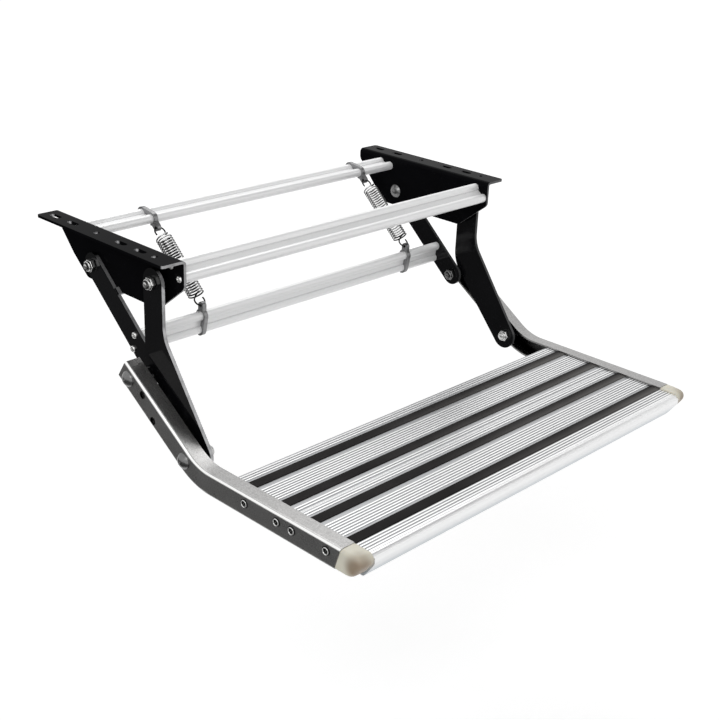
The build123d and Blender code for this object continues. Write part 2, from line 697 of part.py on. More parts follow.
# Anti-slip strips in their seats
for name, back in STRIPS.items():
    with BuildPart() as strip:
        with BuildSketch(Plane.YZ.offset(-RAIL_IN + NOTCH_GAP)) as strip_section:
            with Locations((back - STRIP_GAP, PLANK_TOP + STRIP_STAND)):
                Rectangle(
                    STRIP_DEPTH - 2 * STRIP_GAP,
                    STRIP_SEAT + STRIP_STAND - STRIP_GAP,
                    align=(Align.MAX, Align.MAX),
                )
            chamfer(strip_section.vertices().group_by(Axis.Y)[-1], STRIP_EDGE)
        extrude(amount=2 * (RAIL_IN - NOTCH_GAP))
    keep(strip.part, name)

# End caps, each with a plug in its rail
with BuildPart() as end_cap:
    with BuildSketch(Plane.YZ.offset(RAIL_IN)) as cap_section:
        with BuildLine():
            Polyline(
                (FRONT_END, RAIL_TOP),
                (FRONT_END - CAP_OUT, RAIL_TOP),
                (FRONT_END - CAP_OUT + CAP_RAKE, RAIL_FOOT),
                (FRONT_END + END_RAKE, RAIL_FOOT),
                close=True,
            )
        make_face()
        fillet(cap_section.vertices().sort_by(Axis.X)[0], CAP_TOP_RADIUS)
        foot = cap_section.vertices().group_by(Axis.Y)[0].sort_by(Axis.X)[0]
        fillet(foot, CAP_FOOT_RADIUS)
    extrude(amount=RAIL_WIDTH)
    outer_rim = end_cap.faces().sort_by(Axis.X)[-1].edges()
    fillet(outer_rim.sort_by(Axis.Y)[:-1], CAP_EDGE)
    with BuildSketch(Plane.XZ.offset(-FRONT_END)):
        with Locations(((RAIL_IN + RAIL_SEAT) / 2, RAIL_MID)):
            Rectangle(
                RAIL_SEAT - RAIL_IN - 2 * PLUG_GAP, RAIL_HEIGHT - 2 * RAIL_WALL - 2 * PLUG_GAP
            )
    extrude(amount=-PLUG_DEPTH)
keep_pair(end_cap.part, "end_cap")

# Fasteners
over_nut = NUT_HEIGHT + FACE_GAP + BOLT_PROUD
keep_both(dome_bolt(WEB_IN, REAR_ARM_OUT + over_nut, REAR_PIVOT), "rear_pivot_bolts")
keep_both(hex_nut(REAR_ARM_OUT + FACE_GAP, REAR_PIVOT), "rear_pivot_nuts")
keep_both(dome_bolt(WEB_IN, FRONT_ARM_OUT + over_nut, FRONT_PIVOT), "front_pivot_bolts")
keep_both(
    tube(WEB_OUT, FRONT_ARM_IN - FACE_GAP, FRONT_PIVOT, SPACER / 2, BOLT_HOLE),
    "front_pivot_spacers",
)
keep_both(hex_nut(FRONT_ARM_OUT + FACE_GAP, FRONT_PIVOT), "front_pivot_nuts")
keep_both(dome_bolt(RAIL_OUT, REAR_ARM_IN - over_nut, RAIL_REAR), "rail_rear_bolts")
keep_both(
    tube(REAR_ARM_OUT + FACE_GAP, RAIL_SEAT, RAIL_REAR, SPACER / 2, BOLT_HOLE),
    "rail_rear_spacers",
)
keep_both(hex_nut(REAR_ARM_IN - FACE_GAP - NUT_HEIGHT, RAIL_REAR), "rail_rear_nuts")
keep_both(dome_bolt(RAIL_OUT, FRONT_ARM_OUT + OPEN_GAP, RAIL_FRONT), "rail_front_bolts")
keep_both(
    tube(FRONT_ARM_OUT + OPEN_GAP, RAIL_SEAT, RAIL_FRONT, SPACER / 2, BOLT_HOLE),
    "rail_front_spacers",
)
plain_nut = hex_nut(FRONT_ARM_IN - NUT_HEIGHT, RAIL_FRONT)
with BuildPart() as shoulder_nut:
    add(plain_nut)
    with BuildSketch(Plane.YZ.offset(FRONT_ARM_IN - NUT_HEIGHT)):
        with Locations(RAIL_FRONT):
            Circle(BOLT_HOLE)
    extrude(amount=NUT_HEIGHT)
    with BuildSketch(Plane.YZ.offset(FRONT_ARM_IN)):
        with Locations(RAIL_FRONT):
            Circle(BOLT / 2)
    extrude(amount=ARM_THICKNESS)
keep_both(shoulder_nut.part, "rail_front_nuts")


def screw_group(face, points, name):
    """Writes a screw at each point, on both sides, as one group."""
    pans = [screw(face, SCREW_REACH, point) for point in points]
    with BuildPart() as group:
        add(pans)
        mirror(pans, about=Plane.YZ)
    keep(group.part, name)


screw_group(WEB_OUT, REAR_LOBES + FRONT_LOBES, "top_bar_screws")
screw_group(REAR_ARM_OUT, LOWER_LOBES, "lower_bar_screws")
screw_group(RAIL_OUT, PORTS, "plank_screws")
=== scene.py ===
"""Dresses the folding caravan entry step: finishes, springs, moulded caps, fasteners and studio."""

from math import cos, pi, radians, sin

import bmesh
import bpy
from mathutils import Matrix, Vector


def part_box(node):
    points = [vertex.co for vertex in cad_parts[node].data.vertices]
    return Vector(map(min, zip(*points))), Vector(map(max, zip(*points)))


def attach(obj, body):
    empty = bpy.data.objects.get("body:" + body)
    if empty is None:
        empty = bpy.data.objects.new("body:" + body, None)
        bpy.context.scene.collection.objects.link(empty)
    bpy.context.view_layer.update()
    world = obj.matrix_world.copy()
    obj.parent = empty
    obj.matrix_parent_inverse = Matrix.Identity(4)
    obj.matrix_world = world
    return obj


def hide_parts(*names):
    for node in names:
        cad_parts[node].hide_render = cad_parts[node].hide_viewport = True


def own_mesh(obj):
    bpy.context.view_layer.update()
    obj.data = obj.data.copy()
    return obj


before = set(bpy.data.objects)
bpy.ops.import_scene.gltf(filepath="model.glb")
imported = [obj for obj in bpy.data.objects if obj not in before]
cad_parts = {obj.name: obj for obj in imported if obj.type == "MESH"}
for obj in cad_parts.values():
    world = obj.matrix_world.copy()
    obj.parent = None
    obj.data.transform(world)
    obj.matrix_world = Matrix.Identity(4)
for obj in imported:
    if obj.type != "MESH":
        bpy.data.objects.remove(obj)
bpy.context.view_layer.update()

bl_info = {
    "name": "Entry step dressing",
    "version": (1, 0, 0),
    "blender": (4, 5, 0),
    "location": "3D View > Sidebar > Entry step",
    "description": "Finishes and small pieces of a folding caravan entry step",
    "category": "Object",
}

MM = 0.001
IMAGE_SIDE = 720
SENSOR = 36.0

# Camera, solved from the photograph
VIEW_FOCAL = 1228.5  # pixels
VIEW_AZIMUTH = -0.8098  # radians
VIEW_ELEVATION = 0.4079
VIEW_ROLL = 0.0422
VIEW_EYE = (-0.9772, -1.0641, 0.4102)

# Springs
UPPER_HOOK = (0.048046, -0.021382)  # in side view, metres
LOWER_HOOK = (-0.032906, -0.093880)
HOOK_ANGLES = (-118, -98, -75, -50, -25, 0, 25, 50, 75, 98, 118)  # control points, degrees
HOOK_SPREAD = 1.03  # control points lie outside the hook's curve
HOOK_NECK = ((0.62, 0.06, 1.78), (0.5, 0.45, 2.02))  # shares of the hook, the coil and the hook
TURN_POINTS = 12
SHADE_DEPTH = (0.04, 0.18)  # where the painted shade inside the coil starts and is full, into the coil, in wire thicknesses

# Rails
SPARE_HOLES = ((-0.08685, -0.14939), (-0.10383, -0.17365))  # in side view, metres
HOLE_RIM = (4.7 * MM, 4.3 * MM)  # radius where the painted shade round a spare hole starts and is full
BEND_SHEEN = (-0.086, -0.142)  # Y where the sheen starts and ends its turn to the flat
BEND_SHARE = 0.55  # how far it turns

# Planks, from their top, front and back; the grooves get painted shade, the lips none
GROOVE_TOP = (0.2 * MM, 0.5 * MM)
GROOVE_FOOT = (1.0 * MM, 1.4 * MM)
FRONT_LIPS = {"rear_plank": 0.8 * MM, "front_plank": 11.0 * MM}
BACK_LIP = 0.8 * MM
LIP_FADE = 0.2 * MM
NOSING_DROP = (5.0 * MM, 24.0 * MM)
NOSING_DEPTH = (22.0 * MM, 14.0 * MM)

# Strips and bars
SHEEN_FRONT = (2.0 * MM, 11.0 * MM)  # painted sheen, back from a strip's front edge
SHEEN_FROM = 0.15  # where the painted sheen starts along a strip
LOBE_CORNER = 4.5 * MM

# End caps
CAP_SPOT = (6.0 * MM, 7.0 * MM, 13.0 * MM)  # from the outer side, the front and the foot
CAP_SPOT_FADE = (18.0 * MM, 7.0 * MM)
CAP_VOXEL = 0.8 * MM
CAP_SEAT = 3.0 * MM  # inner side that keeps its shape
CAP_MELT_REACH = 18.0 * MM
CAP_MELT_ROUNDS = 110

# Fasteners
HEAD_HEIGHT = 2.6 * MM  # the pan head's profile is in shares of this and of its radius
PAN_PROFILE = ((0.0, 0.96), (0.08, 1.0), (0.42, 1.0), (0.72, 0.93), (0.92, 0.81), (1.0, 0.66))
DISHED_EDGE = ((0.0, 1.0), (0.5, 1.0), (0.7, 0.97), (0.8, 0.84))  # mm, share of the radius
DISHED_ROLL = ((1.3, 0.79), (1.45, 0.72), (1.3, 0.64), (0.8, 0.58))
DISHED_FLOOR = ((0.45, 0.45), (0.4, 0.3), (0.7, 0.16), (0.8, 0.0))
DISHED_RIM = (0.62, 0.82)  # part of the radius left bright; the rest gets painted shade
DISHED_PIP = 0.1  # middle left bright, without painted shade
DISHED_SHARE = 1.32  # of the plain head's radius
NUT_HEIGHT = 8.0 * MM
NUT_TIP = 3.0 * MM
THREAD_PITCH = 1.25 * MM
SMALLEST_SOLID = 3.0 * MM  # across its box; less is no fastener

# Studio
FLOOR_GLOW = (0.38, 0.62)  # near the step and far from it
FLOOR_GLOW_REACH = (1.0, 3.0)
FLOOR_SIDE = 40.0
LAMP_AIM = (0.0, -0.15, -0.12)

NOISE_SPAN = (0.3, 0.7)  # values that most of a noise pattern lies between
MERGE = 1e-7  # metres between vertices that become one

# Painted highlight on the front-facing edges, and the gloss, of each black piece
BLACK_NODES = {
    "left_bracket": (0.65, 0.007),
    "right_bracket": (0.25, 0.01),
    "left_rear_arm": (0.5, 0.18),
    "right_rear_arm": (0.1, 0.18),
    "left_front_arm": (0.85, 0.15),
    "right_front_arm": (0.1, 0.18),
}
RAIL_NODES = ("left_rail", "right_rail")
PLANK_NODES = ("rear_plank", "front_plank")
BAR_NODES = ("rear_top_bar", "front_top_bar", "lower_bar")
STRIP_NODES = ("rear_strip", "second_strip", "third_strip", "nosing_strip")
CAP_NODES = ("left_end_cap", "right_end_cap")
BOLT_NODES = ("rear_pivot_bolts", "front_pivot_bolts", "rail_rear_bolts", "rail_front_bolts")
SPACER_NODES = ("front_pivot_spacers", "rail_rear_spacers", "rail_front_spacers")
CLIP_NODES = ("left_upper_clip", "right_upper_clip", "left_lower_clip", "right_lower_clip")
SPRING_NODES = ("left_spring", "right_spring")
SCREW_BODIES = {
    "top_bar_screws": "frame",
    "lower_bar_screws": "rear_arms",
    "plank_screws": "step",
}
NUT_BODIES = {
    "rear_pivot_nuts": "frame",
    "front_pivot_nuts": "frame",
    "rail_rear_nuts": "step",
    "rail_front_nuts": "front_arms",
}
OUTWARD_NUTS = ("rear_pivot_nuts", "front_pivot_nuts")


def tint(name, description, default):
    """Colour that a user may change."""
    return bpy.props.FloatVectorProperty(
        name=name, description=description, subtype="COLOR", default=default, min=0.0, max=1.0
    )


def measure(name, description, default):
    """Length that a user may change."""
    return bpy.props.FloatProperty(
        name=name, description=description, default=default, unit="LENGTH"
    )


class StepFinishes(bpy.types.PropertyGroup):
    """Colours of the finishes."""

    black: tint("Black coat", "Powder coat of the brackets and arms", (0.0025, 0.0025, 0.003))
    # Painted highlight colour for the front-facing edges of the black pieces.
    edge_highlight: tint("Edge highlight", "Painted highlight on the front-facing edges of the sheet", (0.6, 0.6, 0.61))
    rail: tint("Rail", "Satin metal of the bent rails", (0.385, 0.381, 0.377))
    # Painted highlight colour for the outer top corner of the rails.
    corner_highlight: tint("Corner highlight", "Painted highlight on the outer corner of the rails", (0.96, 0.96, 0.95))
    # Painted shade colour for the front face of the nosing.
    nosing_shade: tint("Nosing shade", "Painted cool shade on the front of the nosing", (0.62, 0.66, 0.69))
    extrusion: tint("Extrusion", "Bright anodised planks and bars", (0.97, 0.972, 0.975))
    strip: tint("Strip", "Charcoal anti-slip inserts", (0.013, 0.012, 0.012))
    # Painted shade colour for the tread's grooves and the corners between the bars' lobes.
    recess_shade: tint("Recess shade", "Painted shade between the tread's ribs and the bars' lobes", (0.42, 0.425, 0.435))
    # Painted sheen colour for the front edge of the inserts.
    strip_sheen: tint("Strip sheen", "Painted sheen on the front edge of the inserts", (0.135, 0.13, 0.126))
    cap: tint("End cap", "Ivory moulded plugs", (0.76, 0.73, 0.62))
    cap_middle: tint("Cap middle", "Browner middle of the end caps", (0.34, 0.265, 0.19))
    head: tint("Bolt head", "Dark steel of the dome heads", (0.18, 0.18, 0.18))
    zinc: tint("Zinc plate", "Bright nuts and screws", (0.72, 0.72, 0.71))
    clip: tint("Clip", "Plain cut steel of the spring clips", (0.28, 0.28, 0.285))
    wire: tint("Spring wire", "Drawn steel of the springs", (0.8, 0.8, 0.8))
    # Painted shade colour inside the springs and in the dished screw heads.
    painted_shade: tint("Painted shade", "Painted shade inside the springs and in the dished screw heads", (0.02, 0.02, 0.02))


class SpringSizes(bpy.types.PropertyGroup):
    """Sizes of the wound springs."""

    coil: measure("Coil", "Outside diameter of the coil", 20.0 * MM)
    wire: measure("Wire", "Diameter of the wire", 1.9 * MM)
    hook: measure("Hook", "Mean diameter of the end hooks", 13.0 * MM)
    lead: measure("Lead", "From the clip's hole to the first turn", 14.2 * MM)
    turns: bpy.props.IntProperty(
        name="Turns",
        description="Turns between the hooks",
        default=25,
        min=5,
        max=60,
    )


class FastenerSizes(bpy.types.PropertyGroup):
    """Sizes of the screw heads and lock nuts."""

    recess: measure("Recess", "Across the arms of the cross recess", 4.4 * MM)
    slot: measure("Slot", "Width of the recess's arms", 1.2 * MM)
    depth: measure("Depth", "Depth of the recess", 1.3 * MM)
    flats: measure("Flats", "Across the flats of the lock nuts", 13.0 * MM)
    thread: measure("Thread", "Diameter of the pivot bolts", 8.0 * MM)
    collar: measure("Collar", "Height of the locking collar", 2.6 * MM)


class StudioSizes(bpy.types.PropertyGroup):
    """Floor and lights."""

    floor: measure("Floor", "Drop of the floor below the mounting plane", 0.62)
    key: bpy.props.FloatProperty(
        name="Key",
        description="Soft lamp on the camera's left",
        default=17.0,
        unit="POWER",
    )
    fill: bpy.props.FloatProperty(
        name="Fill",
        description="Soft lamp above on the right",
        default=20.0,
        unit="POWER",
    )
    sky: bpy.props.FloatProperty(
        name="Sky",
        description="Level of the even light from all round",
        default=0.5,
        min=0.0,
        max=2.0,
    )


def new_group(name, inputs, outputs):
    """Shader node group with its named sockets."""
    tree = bpy.data.node_groups.new(name, "ShaderNodeTree")
    for label, kind, value in inputs:
        socket = tree.interface.new_socket(name=label, in_out="INPUT", socket_type=kind)
        if value is not None:
            socket.default_value = value
    for label, kind in outputs:
        tree.interface.new_socket(name=label, in_out="OUTPUT", socket_type=kind)
    start = tree.nodes.new("NodeGroupInput")
    end = tree.nodes.new("NodeGroupOutput")
    return tree, start.outputs, end.inputs


def feed(tree, socket, value):
    """Sets a socket to a number, or links another socket to it."""
    if isinstance(value, (int, float)):
        socket.default_value = value
    else:
        tree.links.new(value, socket)


def add_noise(tree, vector, scale, detail, rough):
    """Noise pattern; the scale is a number or a socket."""
    node = tree.nodes.new("ShaderNodeTexNoise")
    node.inputs["Detail"].default_value = detail
    node.inputs["Roughness"].default_value = rough
    tree.links.new(vector, node.inputs["Vector"])
    feed(tree, node.inputs["Scale"], scale)
    return node.outputs["Fac"]


def add_range(tree, value, low, high, from_low=0.0, from_high=1.0):
    """Value moved from one span to another."""
    node = tree.nodes.new("ShaderNodeMapRange")
    node.inputs["From Min"].default_value = from_low
    node.inputs["From Max"].default_value = from_high
    node.inputs["To Min"].default_value = low
    node.inputs["To Max"].default_value = high
    tree.links.new(value, node.inputs["Value"])
    return node.outputs["Result"]


def add_step(tree, value, low, high):
    """Soft step from 0 to 1 between two values."""
    result = add_range(tree, value, 0.0, 1.0, low, high)
    result.node.interpolation_type = "SMOOTHSTEP"
    return result


def add_math(tree, operation, *values):
    """Math node on sockets or numbers."""
    node = tree.nodes.new("ShaderNodeMath")
    node.operation = operation
    for socket, value in zip(node.inputs, values):
        feed(tree, socket, value)
    return node.outputs[0]


def add_product(tree, first, *others):
    """Product of sockets or numbers."""
    for other in others:
        first = add_math(tree, "MULTIPLY", first, other)
    return first


def add_parts(tree, vector):
    """X, Y and Z of a vector."""
    node = tree.nodes.new("ShaderNodeSeparateXYZ")
    tree.links.new(vector, node.inputs["Vector"])
    return node.outputs


def add_distance(tree, vector, point):
    """Distance from a point."""
    node = tree.nodes.new("ShaderNodeVectorMath")
    node.operation = "DISTANCE"
    node.inputs[1].default_value = point
    tree.links.new(vector, node.inputs[0])
    return node.outputs["Value"]


def add_mapping(tree, vector, scale):
    """Coordinates that stretch a pattern."""
    node = tree.nodes.new("ShaderNodeMapping")
    node.inputs["Scale"].default_value = scale
    tree.links.new(vector, node.inputs["Vector"])
    return node.outputs["Vector"]


def mottle_group():
    """Slow cloudiness with a fine speck in it, for colour and roughness."""
    found = bpy.data.node_groups.get("surface_mottle")
    if found:
        return found
    tree, start, end = new_group(
        "surface_mottle",
        (
            ("Vector", "NodeSocketVector", None),
            ("Cloud Scale", "NodeSocketFloat", 18.0),
            ("Speck Scale", "NodeSocketFloat", 900.0),
            ("Speck Share", "NodeSocketFloat", 0.35),
        ),
        (("Mottle", "NodeSocketFloat"), ("Speck", "NodeSocketFloat")),
    )
    cloud = add_noise(tree, start["Vector"], start["Cloud Scale"], detail=4.0, rough=0.55)
    speck = add_noise(tree, start["Vector"], start["Speck Scale"], detail=2.0, rough=0.6)
    part = add_math(tree, "MULTIPLY", speck, start["Speck Share"])
    total = add_math(tree, "ADD", cloud, part)
    level = add_math(tree, "ADD", start["Speck Share"], 1.0)
    tree.links.new(add_math(tree, "DIVIDE", total, level), end["Mottle"])
    tree.links.new(speck, end["Speck"])
    return tree


def drawn_group():
    """Fine lines left by drawing or extruding; the vector comes stretched along them."""
    found = bpy.data.node_groups.get("drawn_lines")
    if found:
        return found
    tree, start, end = new_group(
        "drawn_lines",
        (("Vector", "NodeSocketVector", None), ("Scale", "NodeSocketFloat", 700.0)),
        (("Lines", "NodeSocketFloat"), ("Bands", "NodeSocketFloat")),
    )
    fine = add_noise(tree, start["Vector"], start["Scale"], detail=3.0, rough=0.65)
    wide = add_math(tree, "MULTIPLY", start["Scale"], 0.12)
    bands = add_noise(tree, start["Vector"], wide, detail=2.0, rough=0.5)
    tree.links.new(fine, end["Lines"])
    tree.links.new(bands, end["Bands"])
    return tree


def edge_highlight_group():
    """Mask of the narrow edges that face the front, broken up by small chips, for a painted
    highlight.
    """
    found = bpy.data.node_groups.get("painted_edge_highlight")
    if found:
        return found
    tree, start, end = new_group(
        "painted_edge_highlight",
        (("Vector", "NodeSocketVector", None), ("Amount", "NodeSocketFloat", 1.0)),
        (("Edge", "NodeSocketFloat"),),
    )
    coords = tree.nodes.new("ShaderNodeTexCoord")
    facing = add_math(tree, "MULTIPLY", add_parts(tree, coords.outputs["Normal"])["Y"], -1.0)
    mask = add_step(tree, facing, 0.35, 0.75)
    chips = add_noise(tree, start["Vector"], 140.0, detail=4.0, rough=0.6)
    spread = add_range(tree, chips, 0.65, 1.0, from_low=0.3, from_high=0.55)
    tree.links.new(add_product(tree, mask, spread, start["Amount"]), end["Edge"])
    return tree


def blank_material(name):
    """Material with an empty tree; gives it, the tree and the output's surface."""
    finish = bpy.data.materials.new(name)
    finish.use_nodes = True
    tree = finish.node_tree
    tree.nodes.clear()
    out = tree.nodes.new("ShaderNodeOutputMaterial")
    return finish, tree, out.inputs["Surface"]


def new_finish(name):
    """Principled material; gives it, its tree, the shader's inputs and the coordinates."""
    finish, tree, surface = blank_material(name)
    shader = tree.nodes.new("ShaderNodeBsdfPrincipled")
    tree.links.new(shader.outputs["BSDF"], surface)
    coords = tree.nodes.new("ShaderNodeTexCoord")
    return finish, tree, shader.inputs, coords.outputs["Object"]


def add_group(tree, group, vector, **values):
    """Places a node group, sets its inputs and gives its outputs."""
    node = tree.nodes.new("ShaderNodeGroup")
    node.node_tree = group
    tree.links.new(vector, node.inputs["Vector"])
    for label, value in values.items():
        node.inputs[label.replace("_", " ")].default_value = value
    return node.outputs


def shaded(colour, factor):
    """A colour made lighter or darker."""
    return tuple(min(1.0, part * factor) for part in colour)


def add_shades(tree, value, colour, dark, light):
    """Colour that runs between a darker and a lighter shade of itself."""
    node = tree.nodes.new("ShaderNodeValToRGB")
    for index, factor in enumerate((dark, light)):
        element = node.color_ramp.elements[index]
        element.position = NOISE_SPAN[index]
        element.color = (*shaded(colour, factor), 1.0)
    tree.links.new(value, node.inputs["Fac"])
    return node.outputs["Color"]


def mix_colour(tree, mask, first, second):
    """Mix between a colour socket and a fixed colour."""
    node = tree.nodes.new("ShaderNodeMix")
    node.data_type = "RGBA"
    tree.links.new(mask, node.inputs[0])
    tree.links.new(first, node.inputs[6])
    node.inputs[7].default_value = (*second, 1.0)
    return node.outputs[2]


def add_bump(tree, height, shader, strength, distance):
    """Bump from a height into the shader's normal; gives the bump node."""
    node = tree.nodes.new("ShaderNodeBump")
    node.inputs["Strength"].default_value = strength
    node.inputs["Distance"].default_value = distance
    tree.links.new(height, node.inputs["Height"])
    tree.links.new(node.outputs["Normal"], shader["Normal"])
    return node


def add_rough(tree, pattern, shader, low, high, span=NOISE_SPAN):
    """Roughness that follows a pattern."""
    tree.links.new(add_range(tree, pattern, low, high, *span), shader["Roughness"])


def add_hollow(tree, distance, low, high):
    """Mask of the piece's own hollows, for painted shade: 0 in the open and 1 deep inside."""
    node = tree.nodes.new("ShaderNodeAmbientOcclusion")
    node.only_local = True
    node.samples = 8
    node.inputs["Distance"].default_value = distance
    return add_range(tree, node.outputs["AO"], 1.0, 0.0, low, high)


def black_coat(name, edge, gloss):
    """Gloss black coat with a faint orange-peel skin and a partly metallic painted highlight on the
    front-facing edges.
    """
    colours = bpy.context.scene.step_finishes
    finish, tree, shader, place = new_finish(name)
    skin = add_group(tree, mottle_group(), place, Cloud_Scale=22.0, Speck_Scale=650.0)
    # Painted highlight: front-facing edges are lightened and made partly metallic, by an amount
    # given for each piece.
    highlight_mask = add_group(tree, edge_highlight_group(), place, Amount=edge)
    base = add_shades(tree, skin["Mottle"], colours.black, dark=1.0, light=1.8)
    tree.links.new(mix_colour(tree, highlight_mask["Edge"], base, colours.edge_highlight), shader["Base Color"])
    add_rough(tree, skin["Mottle"], shader, low=0.06, high=0.14)
    tree.links.new(add_range(tree, highlight_mask["Edge"], low=0.0, high=0.6), shader["Metallic"])
    shader["Specular IOR Level"].default_value = gloss
    add_bump(tree, skin["Speck"], shader, strength=0.03, distance=0.3 * MM)
    return finish


def hole_mask(tree, place, hole):
    """Mask of the wall and rim of a hole across the step, seen from the side, for painted shade."""
    flat = tree.nodes.new("ShaderNodeVectorMath")
    flat.operation = "MULTIPLY"
    flat.inputs[1].default_value = (0.0, 1.0, 1.0)
    tree.links.new(place, flat.inputs[0])
    return add_step(tree, add_distance(tree, flat.outputs["Vector"], (0.0, *hole)), *HOLE_RIM)


def eased_bend(tree, place, normal):
    """Normal of a rail whose top eases gently round its bend."""
    facing = add_parts(tree, normal)
    turn = add_step(tree, add_parts(tree, place)["Y"], *BEND_SHEEN)
    upward = add_step(tree, facing["Z"], 0.5, 0.7)
    square = add_step(tree, add_math(tree, "ABSOLUTE", facing["X"]), 0.3, 0.1)
    eased = tree.nodes.new("ShaderNodeMix")
    eased.data_type = "VECTOR"
    tree.links.new(add_product(tree, turn, upward, square, BEND_SHARE), eased.inputs[0])
    tree.links.new(normal, eased.inputs[4])
    eased.inputs[5].default_value = (0.0, 0.0, 1.0)
    outside = tree.nodes.new("ShaderNodeVectorTransform")
    outside.vector_type = "NORMAL"
    outside.convert_from = "OBJECT"
    outside.convert_to = "WORLD"
    tree.links.new(eased.outputs[1], outside.inputs["Vector"])
    return outside.outputs["Vector"]


def side_of(low):
    """1 on the right side of the step and -1 on the left, from a box's lower corner."""
    return 1.0 if low.x > 0.0 else -1.0


def rail_metal(node):
    """Satin anodised channel: fine grain, a painted highlight on its outer top corner and painted
    shade inside.
    """
    colours = bpy.context.scene.step_finishes
    finish, tree, shader, place = new_finish("metal_" + node)
    along = add_mapping(tree, place, scale=(1.0, 0.02, 0.02))
    lines = add_group(tree, drawn_group(), along, Scale=1800.0)
    grain = add_group(tree, mottle_group(), place, Cloud_Scale=9.0, Speck_Scale=700.0)
    base = add_shades(tree, grain["Speck"], colours.rail, dark=0.76, light=1.18)
    normal = tree.nodes.new("ShaderNodeTexCoord").outputs["Normal"]
    facing = add_parts(tree, normal)
    # Painted highlight: faces that turn outward and upward at the outer top corner are lightened.
    outward = add_math(tree, "MULTIPLY", facing["X"], side_of(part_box(node)[0]))
    rising = add_step(tree, outward, 0.4, 0.55)
    falling = add_step(tree, outward, 0.97, 0.86)
    upward = add_step(tree, facing["Z"], 0.05, 0.2)
    corner = add_product(tree, rising, falling, upward)
    highlighted = mix_colour(tree, corner, base, colours.corner_highlight)
    # Painted shade: the channel's own hollows and the spare holes' walls and rims are darkened to
    # the black coat's colour.
    shadow = add_hollow(tree, 18.0 * MM, 0.7, 0.94)
    for hole in SPARE_HOLES:
        shadow = add_math(tree, "MAXIMUM", shadow, hole_mask(tree, place, hole))
    tree.links.new(mix_colour(tree, shadow, highlighted, colours.black), shader["Base Color"])
    add_rough(tree, lines["Lines"], shader, low=0.26, high=0.34)
    shader["Metallic"].default_value = 1.0
    bump = add_bump(tree, grain["Speck"], shader, strength=0.04, distance=0.2 * MM)
    tree.links.new(eased_bend(tree, place, normal), bump.inputs["Normal"])
    return finish


def bright_extrusion(name, metal):
    """Bright anodised extrusion with die lines; gives its material, tree and parts."""
    colours = bpy.context.scene.step_finishes
    finish, tree, shader, place = new_finish(name)
    along = add_mapping(tree, place, scale=(0.012, 1.0, 1.0))
    lines = add_group(tree, drawn_group(), along, Scale=1500.0)
    cloud = add_group(tree, mottle_group(), place, Cloud_Scale=12.0, Speck_Scale=2000.0)
    base = add_shades(tree, lines["Bands"], colours.extrusion, dark=0.95, light=1.03)
    wear = add_math(tree, "ADD", lines["Lines"], cloud["Mottle"])
    add_rough(tree, wear, shader, low=0.3, high=0.42, span=(0.7, 1.3))
    shader["Metallic"].default_value = metal
    add_bump(tree, lines["Lines"], shader, strength=0.05, distance=0.3 * MM)
    return finish, tree, shader, place, base


def plank_extrusion(node):
    """Ribbed plank: white rib tops, painted shade in the grooves and a painted cooler shade on the
    front of the nosing.
    """
    colours = bpy.context.scene.step_finishes
    low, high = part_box(node)
    finish, tree, shader, place, base = bright_extrusion("extrusion_" + node, metal=0.6)
    parts = add_parts(tree, place)
    depth = add_math(tree, "SUBTRACT", high.z, parts["Z"])
    below = add_range(tree, depth, 0.0, 1.0, *GROOVE_TOP)
    above = add_range(tree, depth, 1.0, 0.0, *GROOVE_FOOT)
    front_end = low.y + FRONT_LIPS[node]
    front = add_step(tree, parts["Y"], front_end, front_end + LIP_FADE)
    back_end = high.y - BACK_LIP
    back = add_step(tree, parts["Y"], back_end, back_end - LIP_FADE)
    # Painted shade: the grooves between the ribs are darkened, except on the lips at the plank's
    # edges.
    recess_shade = add_product(tree, below, above, front, back)
    colour = mix_colour(tree, recess_shade, base, colours.recess_shade)
    if node == "front_plank":
        # Painted shade: the nosing's front face, below the top and near the front edge, is tinted a
        # cooler grey.
        drop = add_step(tree, depth, *NOSING_DROP)
        edge = add_step(tree, parts["Y"], *(low.y + reach for reach in NOSING_DEPTH))
        foot = add_math(tree, "MULTIPLY", drop, edge)
        colour = mix_colour(tree, foot, colour, colours.nosing_shade)
    tree.links.new(colour, shader["Base Color"])
    return finish


def bar_extrusion():
    """White double-lobed bar with painted shade in the corners between its lobes."""
    colours = bpy.context.scene.step_finishes
    finish, tree, shader, _, base = bright_extrusion("bar_extrusion", metal=0.2)
    # Painted shade: the corners between the lobes, found by the bar's own occlusion, are greyed.
    shadow = add_hollow(tree, LOBE_CORNER, 0.55, 0.82)
    tree.links.new(mix_colour(tree, shadow, base, colours.recess_shade), shader["Base Color"])
    return finish


def strip_grit(node):
    """Charcoal insert with a fine grit and a painted sheen, paler on its front edge towards one
    end.
    """
    colours = bpy.context.scene.step_finishes
    low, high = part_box(node)
    finish, tree, shader, place = new_finish("grit_" + node)
    grit = add_group(
        tree, mottle_group(), place, Cloud_Scale=14.0, Speck_Scale=1400.0, Speck_Share=0.9
    )
    base = add_shades(tree, grit["Mottle"], colours.strip, dark=0.4, light=2.2)
    parts = add_parts(tree, place)
    # Painted sheen: the front edge of each insert is paled, more towards its right end.
    front = add_range(tree, parts["Y"], 1.0, 0.0, *(low.y + reach for reach in SHEEN_FRONT))
    along = add_range(tree, parts["X"], 0.0, 1.0, low.x + SHEEN_FROM, high.x)
    patchy = add_range(tree, grit["Mottle"], 0.75, 1.0, from_low=0.35, from_high=0.6)
    sheen_mask = add_product(tree, front, along, patchy)
    tree.links.new(mix_colour(tree, sheen_mask, base, colours.strip_sheen), shader["Base Color"])
    add_rough(tree, grit["Speck"], shader, low=0.5, high=0.68)
    shader["Specular IOR Level"].default_value = 0.05
    add_bump(tree, grit["Speck"], shader, strength=0.25, distance=0.4 * MM)
    return finish


